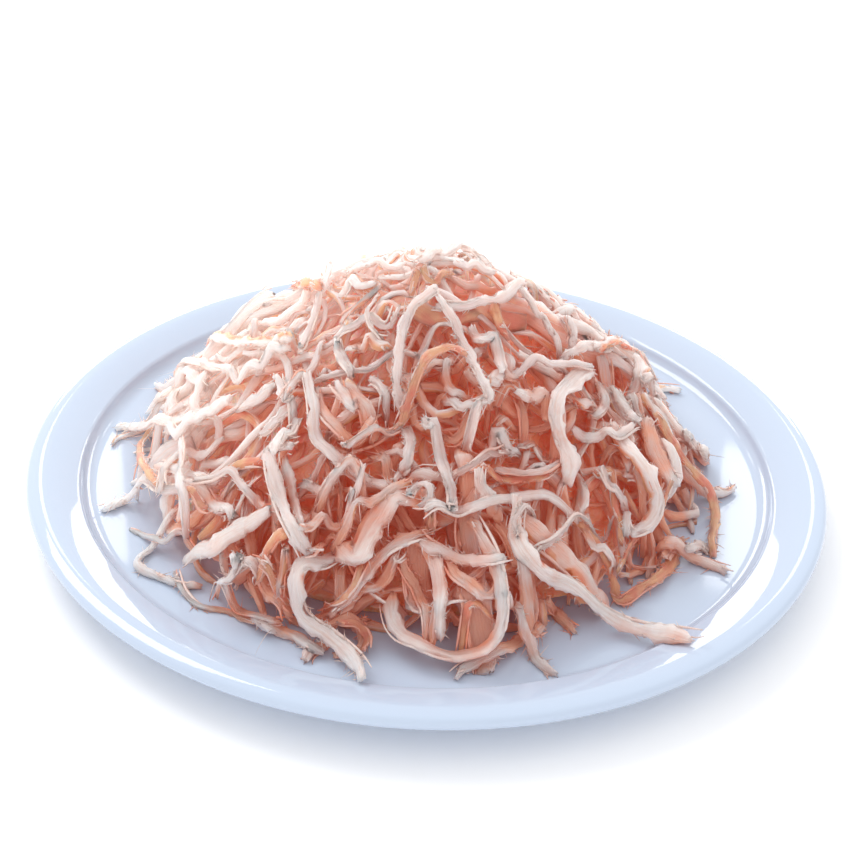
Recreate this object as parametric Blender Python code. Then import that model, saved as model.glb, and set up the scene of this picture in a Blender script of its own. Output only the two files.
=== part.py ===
"""Shredded dried squid heaped on a white rimmed plate.

Metres, +Z up. The plate stands on z = 0 with its middle at the origin, and -Y is the front.
Two solids: the turned plate, and the heap, which is a lumpy core with shreds fused on.
The heap keeps a small gap to the plate that carries it.
"""
import math
import random

import bmesh
import bpy
import numpy as np
from mathutils import Vector, noise
from mathutils.bvhtree import BVHTree

MM = 0.001
GAP = 0.0003              # clear space between the heap and the plate
FACET_ROOM = 1.003        # the plate's flat facets stand this far inside its true round
WELD = 0.000001           # shortest edge that the fused heap keeps
TOP_LEVEL = 0.001         # of a unit globe, above which a point is not on its equator

# Finishes, linear colours and roughness
PORCELAIN = ((0.86, 0.89, 0.94), 0.12)
SQUID = ((0.87, 0.62, 0.47), 0.55)

# Plate, radii and heights
FLOOR_TOP = 0.0062        # upper face of the well's floor
WELL_RADIUS = 0.0920      # flat floor out to here
COVE = 0.0040             # hollow round between floor and wall
WALL_LEAN = 20.0          # degrees the well's wall leans out from upright
SHOULDER = 0.0020         # round between wall and rim
RIM_RISE = 18.0           # degrees the rim climbs outwards
RIM_TOP = 0.0130
RIM_CREST_RADIUS = 0.1065
LIP = 0.0018              # round of the outer lip
LIP_DROP = 0.0021         # middle of that round, below the rim's top
LIP_TURN = 78.0           # degrees of it above and below the level
LIP_STEPS = 4
PLATE_RADIUS = 0.1100
RIM_UNDERSIDE = 0.0089
WALL_UNDERSIDE = 0.0070   # under the rim's inner edge
WELL_UNDERSIDE = 0.0022
UNDERSIDE_STEP = 0.0010   # how much the underside rises from the foot to the well's edge
FOOT_OUTER = 0.0710
FOOT_INNER = 0.0660
FOOT_EDGE = 0.0006        # bevel of the foot ring
PLATE_SIDES = 48
SHARP = 35.0              # degrees between faces that stay sharp

# Heap, a blunt cone with its middle a little behind the plate's
HEAP_MIDDLE = (-0.002, 0.004)
HEAP_RADII = (0.081, 0.083)
HEAP_HEIGHT = 0.065       # above the floor, shreds included
HEAP_PEAK = 1.45          # 1 is a sharp peak, 2 a round top
HEAP_FLANK = 0.85         # under 1 the flank bulges
CORE_SHARE = 0.92         # of the heap's radii
CORE_HEIGHT_SHARE = 0.86
CORE_SIDES = 28
CORE_RINGS = 16
CRAG = 0.08               # height of the core's crags, of its height and radii
CRAG_PITCH = 0.30         # of its radius
CRAG_FADE = 4.0           # the crags are whole from a quarter of the way up

# How a shred lies
STATIONS = 36             # places along a shred where its height is settled
SEGMENT_LENGTH = 0.0085   # of the solid strip
ACROSS = 7                # places over its width where it can touch
STIFFNESS = 12            # how far it bridges a dip, in smoothing passes
SINK = 0.0009             # how deep it is fused into what it lies on
END_WIDTH = 0.55          # of the full width, at a shred's ends
END_SHARE = 0.08          # of the length, over which an end narrows
BANK = 0.7                # how far a shred leans with the heap's slope
BANK_REACH = 3            # widths over which that slope is read
CELL = 0.001
MAP_HALF = 0.112

# Shreds that cover the heap, and those round its foot that run out over the plate
DRAW_SEED = 17
COVERS = 36
COVER_TRIES = 24
COVER_LENGTH = (0.044, 0.074)
STRAYS = 16
STRAY_LENGTH = (0.034, 0.052)
STRAY_START = (0.62, 0.84)   # of the heap's radii
STRAY_END = 0.090            # from the plate's middle, at most
STRAY_TURN = 50              # degrees either side of straight outwards
STRAY_BEND = 110
SHORTENED = 0.94             # of its length, each time a stray is shortened
COVER_BEND = 130
DRAWN_CURL = 35
DRAWN_LEAN = 25
DRAWN_TWIST = 60
DRAWN_ARCH = 0.002
EARLY_SHARE = 0.45           # of a cover's length, from its start to the drawn point
PROUD = 0.004                # how far a cover may stand out of the smooth heap
SHRED_WIDTH = (0.0042, 0.0064)
SHRED_THICK = (0.0020, 0.0028)

# Shreds that show, in mm and degrees: where each starts, its heading there, its length, how far
# it turns in all, how far it turns and turns back, width, thickness, lean at both ends, and how
# high its middle arches.
SHOWN = [
    (-86, -30, 340, 42, 0, 0, 5.0, 2.2, 0, 40, 0),
    (-77, -40, 336, 28, -13, 5, 3.6, 2.0, 0, 30, 0),
    (-60, -53, 354, 32, 11, -7, 6.4, 2.6, 0, 25, 1),
    (-23, -63, 170, 43, 240, 44, 5.2, 2.8, 0, 50, 1),
    (-63, -58, 317, 54, 26, -12, 3.4, 2.0, 0, 60, 0),
    (-49, -63, 349, 24, -30, 6, 4.4, 2.2, 0, 40, 3),
    (-7, -75, 290, 56, 222, -3, 5.2, 2.6, 0, 30, 1),
    (14, -68, 0, 28, -80, -3, 4.0, 2.2, 0, 40, 0),
    (20, -55, 275, 48, 127, 40, 5.6, 2.4, 10, 40, 1),
    (31, -60, 320, 20, -32, 10, 5.2, 2.2, 0, 10, 0),
    (62, 6, 300, 48, -20, 30, 4.6, 2.2, 20, 60, 2),
    (50, -38, 350, 42, -240, 0, 4.0, 2.2, 20, 60, 2),
    (60, -36, 0, 26, -65, 30, 6.0, 2.2, 0, 40, 0),
    (0, -60, 34, 42, -30, -6, 4.4, 2.4, 0, 30, 1),
    (50, -24, 60, 34, -240, -24, 4.8, 2.4, 30, 60, 3),
    (35, -42, 137, 48, -140, -14, 6.4, 2.6, 0, 60, 4),
    (18, -28, 68, 30, -60, -14, 4.6, 2.6, 0, 30, 3),
    (36, -31, 323, 28, 150, 43, 5.0, 2.4, 0, 30, 1),
    (-8, -37, 97, 57, -227, 14, 4.6, 2.4, 30, 60, 4),
    (7, -21, 196, 38, 96, 7, 5.4, 2.2, 20, 60, 4),
    (-30, -27, 250, 42, 134, 16, 5.6, 2.6, 0, 30, 2),
    (-39, -40, 235, 28, 120, 29, 5.0, 2.4, 0, 30, 2),
    (-66, 24, 345, 36, 10, 0, 4.2, 2.2, 0, 30, 2),
    (-45, 22, 285, 44, 8, 0, 3.6, 2.2, 0, 30, 1),
    (-74, 4, 196, 34, 175, 40, 4.2, 2.2, 30, 60, 1),
    (-56, -17, 1, 26, 4, -2, 5.2, 2.4, 0, 30, 2),
    (-24, -66, 21, 38, 3, -2, 7.0, 2.6, 0, 20, 1),
    (10, -58, 320, 34, -133, -12, 5.2, 2.4, 0, 30, 1),
]
SHRED_KEYS = ("x", "y", "heading", "length", "bend", "curl", "width", "thick", "lean", "twist", "arch")


def clear_scene():
    """Start from an empty scene."""
    for thing in list(bpy.data.objects):
        bpy.data.objects.remove(thing, do_unlink=True)


def finish(name, colour, roughness):
    """A plain principled material."""
    material = bpy.data.materials.new(name)
    material.use_nodes = True
    shader = material.node_tree.nodes["Principled BSDF"]
    shader.inputs["Base Color"].default_value = (*colour, 1.0)
    shader.inputs["Roughness"].default_value = roughness
    return material


def place(name, mesh, material):
    """An object of the mesh, in the scene."""
    thing = bpy.data.objects.new(name, mesh)
    mesh.materials.append(material)
    bpy.context.scene.collection.objects.link(thing)
    return thing


def arc(middle_radius, middle_height, radius, start, end, steps):
    """Points of an arc in the plate's section, angles in degrees from outwards."""
    angles = np.radians(np.linspace(start, end, steps + 1))
    return [(middle_radius + radius * math.cos(a), middle_height + radius * math.sin(a)) for a in angles]


def upper_profile():
    """The plate's upper side as radius and height, from the middle to the lip."""
    cove = arc(WELL_RADIUS, FLOOR_TOP + COVE, COVE, -90, -WALL_LEAN, 3)
    lean = math.radians(WALL_LEAN)
    middle_radius = cove[-1][0] + SHOULDER * math.cos(lean)
    middle_height = cove[-1][1] - SHOULDER * math.sin(lean)
    shoulder = arc(middle_radius, middle_height, SHOULDER, 180 - WALL_LEAN, 90 + RIM_RISE, 2)
    lip = arc(PLATE_RADIUS - LIP, RIM_TOP - LIP_DROP, LIP, LIP_TURN, -LIP_TURN, LIP_STEPS)
    return [(0.0, FLOOR_TOP)] + cove + shoulder[1:] + [(RIM_CREST_RADIUS, RIM_TOP)] + lip


def lower_profile():
    """The plate's underside, from the lip back to the middle."""
    foot = [(FOOT_OUTER, WELL_UNDERSIDE), (FOOT_OUTER - FOOT_EDGE, FOOT_EDGE),
            (FOOT_OUTER - 2 * FOOT_EDGE, 0.0), (FOOT_INNER + 2 * FOOT_EDGE, 0.0),
            (FOOT_INNER + FOOT_EDGE, FOOT_EDGE), (FOOT_INNER, WELL_UNDERSIDE)]
    rim = [(PLATE_RADIUS - 3 * LIP, RIM_UNDERSIDE), (WELL_RADIUS + 2 * COVE, WALL_UNDERSIDE),
           (WELL_RADIUS + COVE / 2, WELL_UNDERSIDE + UNDERSIDE_STEP)]
    return rim + foot + [(0.0, WELL_UNDERSIDE)]


def make_plate(material):
    """The plate, its section spun round the middle."""
    section = upper_profile() + lower_profile()
    form = bmesh.new()
    verts = [form.verts.new((radius, 0.0, height)) for radius, height in section]
    edges = [form.edges.new(pair) for pair in zip(verts, verts[1:])]
    bmesh.ops.spin(form, geom=verts + edges, cent=(0, 0, 0), axis=(0, 0, 1),
                   angle=math.tau, steps=PLATE_SIDES, use_merge=True)
    bmesh.ops.remove_doubles(form, verts=form.verts, dist=WELD)
    bmesh.ops.recalc_face_normals(form, faces=form.faces)
    mesh = bpy.data.meshes.new("plate")
    form.to_mesh(mesh)
    form.free()
    plate = place("plate", mesh, material)
    mesh.shade_smooth()
    mesh.set_sharp_from_angle(angle=math.radians(SHARP))
    return plate


def plate_height(radius):
    """Height of the plate's upper side at a radius."""
    outline = upper_profile()[:-LIP_STEPS]
    return np.interp(radius, [point[0] for point in outline], [point[1] for point in outline])


def heap_form(x, y):
    """Height of the smooth heap above the floor, zero outside it."""
    reach = np.hypot((x - HEAP_MIDDLE[0]) / HEAP_RADII[0], (y - HEAP_MIDDLE[1]) / HEAP_RADII[1])
    return HEAP_HEIGHT * np.clip(1.0 - reach ** HEAP_PEAK, 0.0, None) ** HEAP_FLANK


def make_core(material):
    """The heap's core, a half globe drawn down to a craggy cone."""
    form = bmesh.new()
    bmesh.ops.create_uvsphere(form, u_segments=CORE_SIDES, v_segments=CORE_RINGS, radius=1.0)
    whole = form.verts[:] + form.edges[:] + form.faces[:]
    bmesh.ops.bisect_plane(form, geom=whole, plane_co=(0, 0, 0), plane_no=(0, 0, 1), clear_inner=True)
    bmesh.ops.holes_fill(form, edges=[edge for edge in form.edges if edge.is_boundary])
    for vert in form.verts:
        swell = 1.0 + CRAG * noise.noise(vert.co / CRAG_PITCH) * min(CRAG_FADE * vert.co.z, 1.0)
        smooth = heap_form(HEAP_MIDDLE[0] + HEAP_RADII[0] * vert.co.x,
                           HEAP_MIDDLE[1] + HEAP_RADII[1] * vert.co.y)
        height = CORE_HEIGHT_SHARE * swell * smooth if vert.co.z > TOP_LEVEL else 0.0
        vert.co = (HEAP_MIDDLE[0] + CORE_SHARE * swell * HEAP_RADII[0] * vert.co.x,
                   HEAP_MIDDLE[1] + CORE_SHARE * swell * HEAP_RADII[1] * vert.co.y,
                   FLOOR_TOP + GAP + height)
    bmesh.ops.recalc_face_normals(form, faces=form.faces)
    mesh = bpy.data.meshes.new("squid_heap")
    form.to_mesh(mesh)
    form.free()
    return place("squid_heap", mesh, material)


def first_map(core):
    """Heights of the plate and the core on a square grid, rows along Y."""
    form = bmesh.new()
    form.from_mesh(core.data)
    tree = BVHTree.FromBMesh(form)
    form.free()
    line = np.arange(-MAP_HALF, MAP_HALF + CELL / 2, CELL)
    x, y = np.meshgrid(line, line)
    heights = plate_height(np.hypot(x, y)) + GAP
    above = 2 * HEAP_HEIGHT
    for row, column in np.argwhere(heap_form(x, y) > 0.0):
        hit = tree.ray_cast(Vector((x[row, column], y[row, column], above)), Vector((0, 0, -1)))[0]
        if hit:
            heights[row, column] = max(heights[row, column], hit.z)
    return heights


def cells(points):
    """Row and column of the map under plan points."""
    index = np.rint((points + MAP_HALF) / CELL).astype(int)
    index = np.clip(index, 0, int(round(2 * MAP_HALF / CELL)))
    return index[..., 1], index[..., 0]


def route(shred):
    """A shred's way in plan, one point for each station."""
    share = (np.arange(STATIONS - 1) + 0.5) / (STATIONS - 1)
    heading = np.radians(shred["heading"] + shred["bend"] * share
                         + shred["curl"] * np.sin(math.tau * share))
    step = shred["length"] / (STATIONS - 1)
    steps = np.stack([np.cos(heading), np.sin(heading)], axis=1) * step
    start = np.array([[shred["x"], shred["y"]]])
    return np.concatenate([start, start + np.cumsum(steps, axis=0)])


def sideways(plan):
    """Unit vectors to a route's left."""
    along = np.gradient(plan, axis=0)
    along /= np.linalg.norm(along, axis=1)[:, None]
    return np.stack([-along[:, 1], along[:, 0]], axis=1)


def bridged(support):
    """Heights of a stiff strip that lies on the support and spans its dips."""
    height = support.copy()
    for _ in range(STIFFNESS):
        ahead = np.append(height[1:], 2 * height[-1] - height[-2])
        behind = np.insert(height[:-1], 0, 2 * height[0] - height[1])
        height = np.maximum(support, (behind + 2 * height + ahead) / 4)
    return height


def leaning(shred, plan):
    """A shred's lean at each station: its own, and with the slope of the smooth heap."""
    reach = sideways(plan) * shred["width"] * BANK_REACH / 2
    left, right = plan + reach, plan - reach
    rise = heap_form(left[:, 0], left[:, 1]) - heap_form(right[:, 0], right[:, 1])
    slope = np.arctan2(rise, shred["width"] * BANK_REACH)
    return np.radians(shred["lean"] + shred["twist"] * np.linspace(0.0, 1.0, STATIONS)) + BANK * slope


def outline(shred, plan, lean):
    """Points round a leaning strip's section, in plan, and their heights above its middle."""
    across = np.tile(np.linspace(-0.5, 0.5, ACROSS) * shred["width"], 2)
    deep = np.repeat([0.5, -0.5], ACROSS) * shred["thick"]
    aside = np.outer(np.cos(lean), across) - np.outer(np.sin(lean), deep)
    above = np.outer(np.sin(lean), across) + np.outer(np.cos(lean), deep)
    return plan[:, None, :] + sideways(plan)[:, None, :] * aside[..., None], above


def settle(shred, heights):
    """Middle line of a shred laid on the map, and its lean at each station."""
    plan = route(shred)
    lean = leaning(shred, plan)
    points, above = outline(shred, plan, lean)
    support = bridged((heights[cells(points)] - above).max(axis=1))
    arch = shred["arch"] * np.sin(math.pi * np.linspace(0.0, 1.0, STATIONS)) ** 2
    return np.column_stack([plan, support + arch - SINK]), lean


def press(shred, line, lean, heights):
    """Raise the map to a laid shred's top."""
    points, above = outline(shred, line[:, :2], lean)
    np.maximum.at(heights, cells(points), line[:, 2:] + above)


def clear_of_plate(ring):
    """A ring of points raised until none is nearer than the gap to the plate."""
    bare = plate_height(np.hypot(ring[:, 0], ring[:, 1]) * FACET_ROOM) + GAP
    return ring + np.array([0.0, 0.0, max((bare - ring[:, 2]).max(), 0.0)])


def strip_rings(shred, line, lean):
    """Four corners of a strip's section at each place that the solid keeps."""
    along = np.gradient(line, axis=0)
    along /= np.linalg.norm(along, axis=1)[:, None]
    side = np.column_stack([sideways(line[:, :2]), np.zeros(STATIONS)])
    upward = np.cross(along, side)
    flat = side * np.cos(lean)[:, None] + upward * np.sin(lean)[:, None]
    deep = np.cross(along, flat) * 0.5 * shred["thick"]
    share = np.linspace(0.0, 1.0, STATIONS)
    taper = np.clip(np.minimum(share, 1.0 - share) / END_SHARE, 0.0, 1.0)
    wide = flat * (0.5 * shred["width"] * (END_WIDTH + (1.0 - END_WIDTH) * taper))[:, None]
    segments = max(3, round(shred["length"] / SEGMENT_LENGTH))
    for station in np.rint(np.linspace(0, STATIONS - 1, segments + 1)).astype(int):
        corners = [wide[station] * across + deep[station] * up
                   for across, up in ((1, 1), (-1, 1), (-1, -1), (1, -1))]
        yield clear_of_plate(line[station] + np.array(corners))


def strip_mesh(shred, line, lean):
    """A closed four-sided strip along the middle line."""
    form = bmesh.new()
    rings = [[form.verts.new(point) for point in ring] for ring in strip_rings(shred, line, lean)]
    for first, second in zip(rings, rings[1:]):
        for corner in range(4):
            following = (corner + 1) % 4
            form.faces.new((first[corner], first[following], second[following], second[corner]))
    form.faces.new(rings[0][::-1])
    form.faces.new(rings[-1])
    bmesh.ops.recalc_face_normals(form, faces=form.faces)
    bmesh.ops.triangulate(form, faces=form.faces)
    mesh = bpy.data.meshes.new("shred")
    form.to_mesh(mesh)
    form.free()
    return mesh


def shown_shreds():
    """The shreds of the table, in metres."""
    lengths = ("x", "y", "length", "width", "thick", "arch")
    for row in SHOWN:
        shred = dict(zip(SHRED_KEYS, row))
        yield {key: value * MM if key in lengths else value for key, value in shred.items()}


def drawn_sizes(draw):
    """What every drawn shred draws alike."""
    return {
        "curl": draw.uniform(-DRAWN_CURL, DRAWN_CURL), "arch": draw.uniform(0, DRAWN_ARCH),
        "width": draw.uniform(*SHRED_WIDTH), "thick": draw.uniform(*SHRED_THICK),
        "lean": draw.uniform(-DRAWN_LEAN, DRAWN_LEAN), "twist": draw.uniform(-DRAWN_TWIST, DRAWN_TWIST),
    }


def heap_point(reach, turn):
    """Plan point of the heap at a share of its radii and an angle in degrees."""
    angle = math.radians(turn)
    return (HEAP_MIDDLE[0] + reach * HEAP_RADII[0] * math.cos(angle),
            HEAP_MIDDLE[1] + reach * HEAP_RADII[1] * math.sin(angle))


def drawn_cover(draw):
    """A shred whose middle is somewhere over the heap."""
    x, y = heap_point(math.sqrt(draw.uniform(0.0, 0.95)), draw.uniform(0, 360))
    heading, bend = draw.uniform(0, 360), draw.uniform(-COVER_BEND, COVER_BEND)
    length = draw.uniform(*COVER_LENGTH)
    early = math.radians(heading + bend / 4)
    x -= EARLY_SHARE * length * math.cos(early)
    y -= EARLY_SHARE * length * math.sin(early)
    return {"x": x, "y": y, "heading": heading, "bend": bend, "length": length, **drawn_sizes(draw)}


def drawn_stray(draw, turn):
    """A shred that starts on the heap's flank and runs out over the plate."""
    x, y = heap_point(draw.uniform(*STRAY_START), turn)
    return {"x": x, "y": y, "heading": turn + draw.uniform(-STRAY_TURN, STRAY_TURN),
            "bend": draw.uniform(-STRAY_BEND, STRAY_BEND), "length": draw.uniform(*STRAY_LENGTH),
            **drawn_sizes(draw)}


def room(shred, heights):
    """How far a shred's way lies below the smooth heap on average, or None where it won't fit."""
    line = settle(shred, heights)[0]
    smooth = heap_form(line[:, 0], line[:, 1])
    below = FLOOR_TOP + smooth - line[:, 2]
    return None if smooth.min() == 0.0 or below.min() < -PROUD else float(below.mean())


def covers(heights, draw):
    """Shreds over the heap, each the one of a few tries that finds the most room."""
    for _ in range(COVERS):
        tries = [drawn_cover(draw) for _ in range(COVER_TRIES)]
        rooms = [room(shred, heights) for shred in tries]
        fitting = [(space, index) for index, space in enumerate(rooms) if space is not None]
        if fitting:
            yield tries[max(fitting)[1]]


def strays(draw):
    """Shreds round the foot, shortened where they would climb the plate's wall."""
    for index in range(STRAYS):
        shred = drawn_stray(draw, (index + draw.uniform(-0.3, 0.3)) * 360 / STRAYS)
        while np.linalg.norm(route(shred), axis=1).max() > STRAY_END:
            shred["length"] *= SHORTENED
        yield shred


def lay_shreds(core, material):
    """All shreds as objects of one collection, the shown ones last and so on top."""
    pile = bpy.data.collections.new("shreds")
    bpy.context.scene.collection.children.link(pile)
    heights = first_map(core)
    draw = random.Random(DRAW_SEED)
    for source in (covers(heights, draw), strays(draw), shown_shreds()):
        for shred in source:
            line, lean = settle(shred, heights)
            press(shred, line, lean, heights)
            strip = bpy.data.objects.new("shred", strip_mesh(shred, line, lean))
            strip.data.materials.append(material)
            pile.objects.link(strip)
    return pile


def bodies(form):
    """The mesh's separate bodies, each a set of faces that edges join."""
    left = set(form.faces)
    while left:
        waiting = [left.pop()]
        body = set(waiting)
        while waiting:
            linked = {other for edge in waiting.pop().edges for other in edge.link_faces}
            waiting += linked & left
            body |= linked & left
            left -= linked
        yield body


def back_to_back(form):
    """Faces that stand in pairs on the same corners and enclose nothing."""
    pairs = {}
    for face in form.faces:
        pairs.setdefault(frozenset(face.verts), []).append(face)
    return [face for pair in pairs.values() if len(pair) == 2 for face in pair]


def keep_largest_body(mesh):
    """Clean the union: drop empty folds, then loose scraps and sealed hollows."""
    form = bmesh.new()
    form.from_mesh(mesh)
    bmesh.ops.dissolve_degenerate(form, edges=form.edges, dist=WELD)
    bmesh.ops.triangulate(form, faces=form.faces)
    bmesh.ops.delete(form, geom=back_to_back(form), context="FACES")
    largest = max(bodies(form), key=len)
    bmesh.ops.delete(form, geom=[face for face in form.faces if face not in largest], context="FACES")
    form.to_mesh(mesh)
    form.free()


def fuse(core, pile):
    """Join the shreds to the core by one union and clear them away."""
    union = core.modifiers.new("fused shreds", "BOOLEAN")
    union.operation = "UNION"
    union.operand_type = "COLLECTION"
    union.collection = pile
    union.solver = "MANIFOLD"
    bpy.context.view_layer.objects.active = core
    bpy.ops.object.modifier_apply(modifier=union.name)
    for strip in list(pile.objects):
        bpy.data.objects.remove(strip, do_unlink=True)
    bpy.data.collections.remove(pile)
    keep_largest_body(core.data)


def main():
    clear_scene()
    make_plate(finish("white porcelain", *PORCELAIN))
    squid = finish("dried squid", *SQUID)
    core = make_core(squid)
    fuse(core, lay_shreds(core, squid))


main()
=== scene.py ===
"""Looks of a loose heap of shredded dried squid on a white glazed plate.

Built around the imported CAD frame, in metres, +Z up, with -Y at the front. The plate stands on
z = 0. The heap is made of single shreds, each laid on a map of heights on what lies below it.
"""
import math
import random

import bmesh
import bpy
import numpy as np
from bpy.props import FloatProperty, FloatVectorProperty, IntProperty, PointerProperty
from mathutils import Matrix, Vector, noise
from mathutils.bvhtree import BVHTree


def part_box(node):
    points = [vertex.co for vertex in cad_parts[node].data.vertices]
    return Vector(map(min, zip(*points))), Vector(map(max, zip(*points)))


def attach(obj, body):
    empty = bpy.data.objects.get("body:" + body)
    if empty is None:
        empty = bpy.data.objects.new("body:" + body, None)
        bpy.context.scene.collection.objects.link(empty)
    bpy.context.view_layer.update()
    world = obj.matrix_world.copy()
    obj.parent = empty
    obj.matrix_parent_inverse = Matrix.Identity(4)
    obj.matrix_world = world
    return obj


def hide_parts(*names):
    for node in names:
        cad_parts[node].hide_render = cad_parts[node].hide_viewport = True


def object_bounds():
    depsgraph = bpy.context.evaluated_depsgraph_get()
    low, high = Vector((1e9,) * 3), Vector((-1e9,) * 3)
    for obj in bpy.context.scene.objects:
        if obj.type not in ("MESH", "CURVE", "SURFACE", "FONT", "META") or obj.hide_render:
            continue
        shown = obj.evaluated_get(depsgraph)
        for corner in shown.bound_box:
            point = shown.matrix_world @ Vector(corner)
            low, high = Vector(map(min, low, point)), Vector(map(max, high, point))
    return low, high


bl_info = {
    "name": "Shredded dried squid on a plate",
    "version": (1, 0, 0),
    "blender": (4, 5, 0),
    "location": "3D View > Sidebar > Dried squid",
    "description": "A loose heap of dried squid shreds on a white rimmed plate",
    "category": "Add Mesh",
}

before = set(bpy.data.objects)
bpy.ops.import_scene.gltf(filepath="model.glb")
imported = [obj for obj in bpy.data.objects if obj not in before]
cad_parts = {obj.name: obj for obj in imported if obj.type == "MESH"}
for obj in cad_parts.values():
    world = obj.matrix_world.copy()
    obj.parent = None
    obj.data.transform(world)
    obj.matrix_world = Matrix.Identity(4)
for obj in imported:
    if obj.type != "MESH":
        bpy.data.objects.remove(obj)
CAD_LOW, CAD_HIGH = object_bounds()

MM = 0.001

# Plate section, the same as the CAD plate's
COVE = 0.0040             # hollow round between floor and wall
WALL_LEAN = 20.0          # degrees the well's wall leans out from upright
SHOULDER = 0.0020         # round between wall and rim
RIM_RISE = 18.0           # degrees the rim climbs outwards
RIM_CREST_RADIUS = 0.1065
RIM_CROWN = 0.0003        # how much the rim bulges
LIP = 0.0018              # round of the outer lip
LIP_DROP = 0.0021
LIP_TURN = 78.0
RIM_UNDERSIDE = 0.0089
WALL_UNDERSIDE = 0.0070
WELL_UNDERSIDE = 0.0022
UNDERSIDE_STEP = 0.0010
FOOT_OUTER = 0.0710
FOOT_INNER = 0.0660
FOOT_EDGE = 0.0006
POLE = 0.002              # radius of the first and last ring, before they are closed
COVE_STEPS, SHOULDER_STEPS, LIP_STEPS = 8, 7, 12
SHARP = 35                # degrees from which an edge stays sharp

# Core, which fills the depth of the heap
CORE_SHARE = 0.86         # of the heap's radii
CORE_HEIGHT_SHARE = 0.89
CRAG = 0.10               # of the core's height and radii
CRAG_PITCH = 0.24         # of the radius of the ball that it is shaped from
CALM_FOOT = 0.25          # of that radius, up to where the crags grow

# Map of heights that the shreds are laid on
CELL = 0.00075
MAP_HALF = 0.112
GAP = 0.00005             # clear space between shreds and plate
BLUR = 5                  # cells each way over which a map is evened out

# How a shred lies
STATIONS = 44             # points along its middle line
SINK = 0.0005             # how deep it sinks into what it lies on
EASE = 4                  # passes that round its line
TOUCHES = 7               # places over its width where it can touch
BANK = 0.7                # how much of the heap's slope it leans with
BANK_REACH = 3            # widths over which that slope is taken
LIFTED = 0.6              # of its length, over which a lifted end comes down

# Kinds of shred: how many in a hundred drawn ones, where on a section the skin is, in radians
# from its edge, and how far round it the skin goes, -1.4 for nowhere
FLESH, EDGED, SKIN, BLUSH, STRANDS = "flesh", "edged", "skin", "blush", "strands"
KINDS = (FLESH, EDGED, SKIN, BLUSH)
KIND_SHARES = (38, 36, 9, 17)
SKIN_SIDE = {FLESH: 0.0, EDGED: 0.0, SKIN: math.pi / 2, BLUSH: -0.3}
SKIN_REACH = {FLESH: -1.4, EDGED: -0.50, SKIN: 0.45, BLUSH: -0.85}

# Drawn shreds
WIDTH = (0.0010, 0.0044, 0.0021)          # least, most and usual
FLATNESS = (0.45, 0.85)                   # thickness, of the width
THICKEST_DRAWN = 0.0020
FILM_SHARE = 0.10         # of the drawn shreds, torn off wide and thin
FILM_WIDTH = (0.0045, 0.0080)
FILM_THICKNESS = 0.0007
CURL, WAVE, LEAN, TWIST = 45, 22, 40, 120  # degrees either way
WAVES = 2.3               # over its length
WAVE_SHIFT = 7            # degrees of wave that shift the waves by a whole one
ARCH, LIFT = 0.005, 0.007  # how far its middle and its ends stand up at most
STIFFNESS = (12, 60)      # passes in which it bridges dips
COVER_LENGTH = (0.018, 0.062)
COVER_BEND = (0, 280, 60)                 # degrees in all: least, most and usual
COVER_SPREAD = 0.97       # of the heap's plan, where the covers' middles lie
COVER_START = 0.45        # of its length, from its first point to its place
COVER_TRIES = 10
STRAY_LENGTH = (0.020, 0.048)
STRAY_START = (0.70, 0.90)                # of the heap's radii
STRAY_TURN, STRAY_BEND = 75, 150          # degrees either way
STRAY_SPACING = 0.3       # of the step between them, how far they leave even spacing
STRAY_LIMIT = 0.0905      # radius inside which they end
SHORTER = 0.94            # of a stray's length, as long as it reaches past that
ROOM_LEFT = -0.0015       # how far under the smooth heap the drawn shreds stay, for the traced ones

# Traced shreds
SHOWN_THICKNESS = 0.55    # of the width, up to the thickest
THICKEST = 0.0022
SHOWN_LEAN, SHOWN_TWIST = 15, 40          # degrees either way
SHOWN_STIFFNESS = 30
CORNER_EASE = 5           # passes that round a way's corners
SIGHT = np.arange(0.28, 0.62, 0.0005)     # places along a ray from the camera
MET = 0.001               # how near the map a ray has met it
STEEPEST = 2.2            # how much faster than across the picture a shred may run into it
FITS = 5                  # rounds that fit a shred to what carries it
FIT_NEAR, FIT_FAR = 0.014, 0.006

# A shred's surface, in rings of points
RING_STEP = 0.0012
ROUND = 16                # points round the section
FEWEST_RINGS = 9
BURIED_SHARE = 0.55       # of the shreds, laid first and mostly hidden
BURIED_STEP = 0.0024
BURIED_ROUND = 10
SQUARE = 3.2              # exponent of the section, 2 is an ellipse
UNEVEN_WIDTH, UNEVEN_THICKNESS = 0.13, 0.12
WIDE_RANGE, THICK_RANGE = (0.25, 1.6), (0.3, 1.5)
BUNDLE = 0.0012           # width of a bundle of fibres
BUNDLES = (2, 4)          # fewest and most
FURROW = 0.32             # depth of the furrows between bundles, of half the thickness
FULLNESS = 1.12           # of the bundles, of half the thickness
RAGGED = 0.00020          # how far torn edges stand in and out
NICKS, BAYS = 0.10, 0.07  # of the width, short and long swings of a torn edge
CUP = 0.35                # of the thickness, how hollow it is at most
FRAY = 0.3                # how much the skin's border wanders
TAPER = 0.0045            # length over which an end narrows
END_SHARE = 0.60          # of the width and thickness, left at an end
END_RAGGED = 0.0005       # how far an end's points stand out
SIDE_EASE = 12            # passes that even out which way a shred faces
GRAIN_SHIFT = 200         # millimetres by which the grain of two shreds may differ

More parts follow.
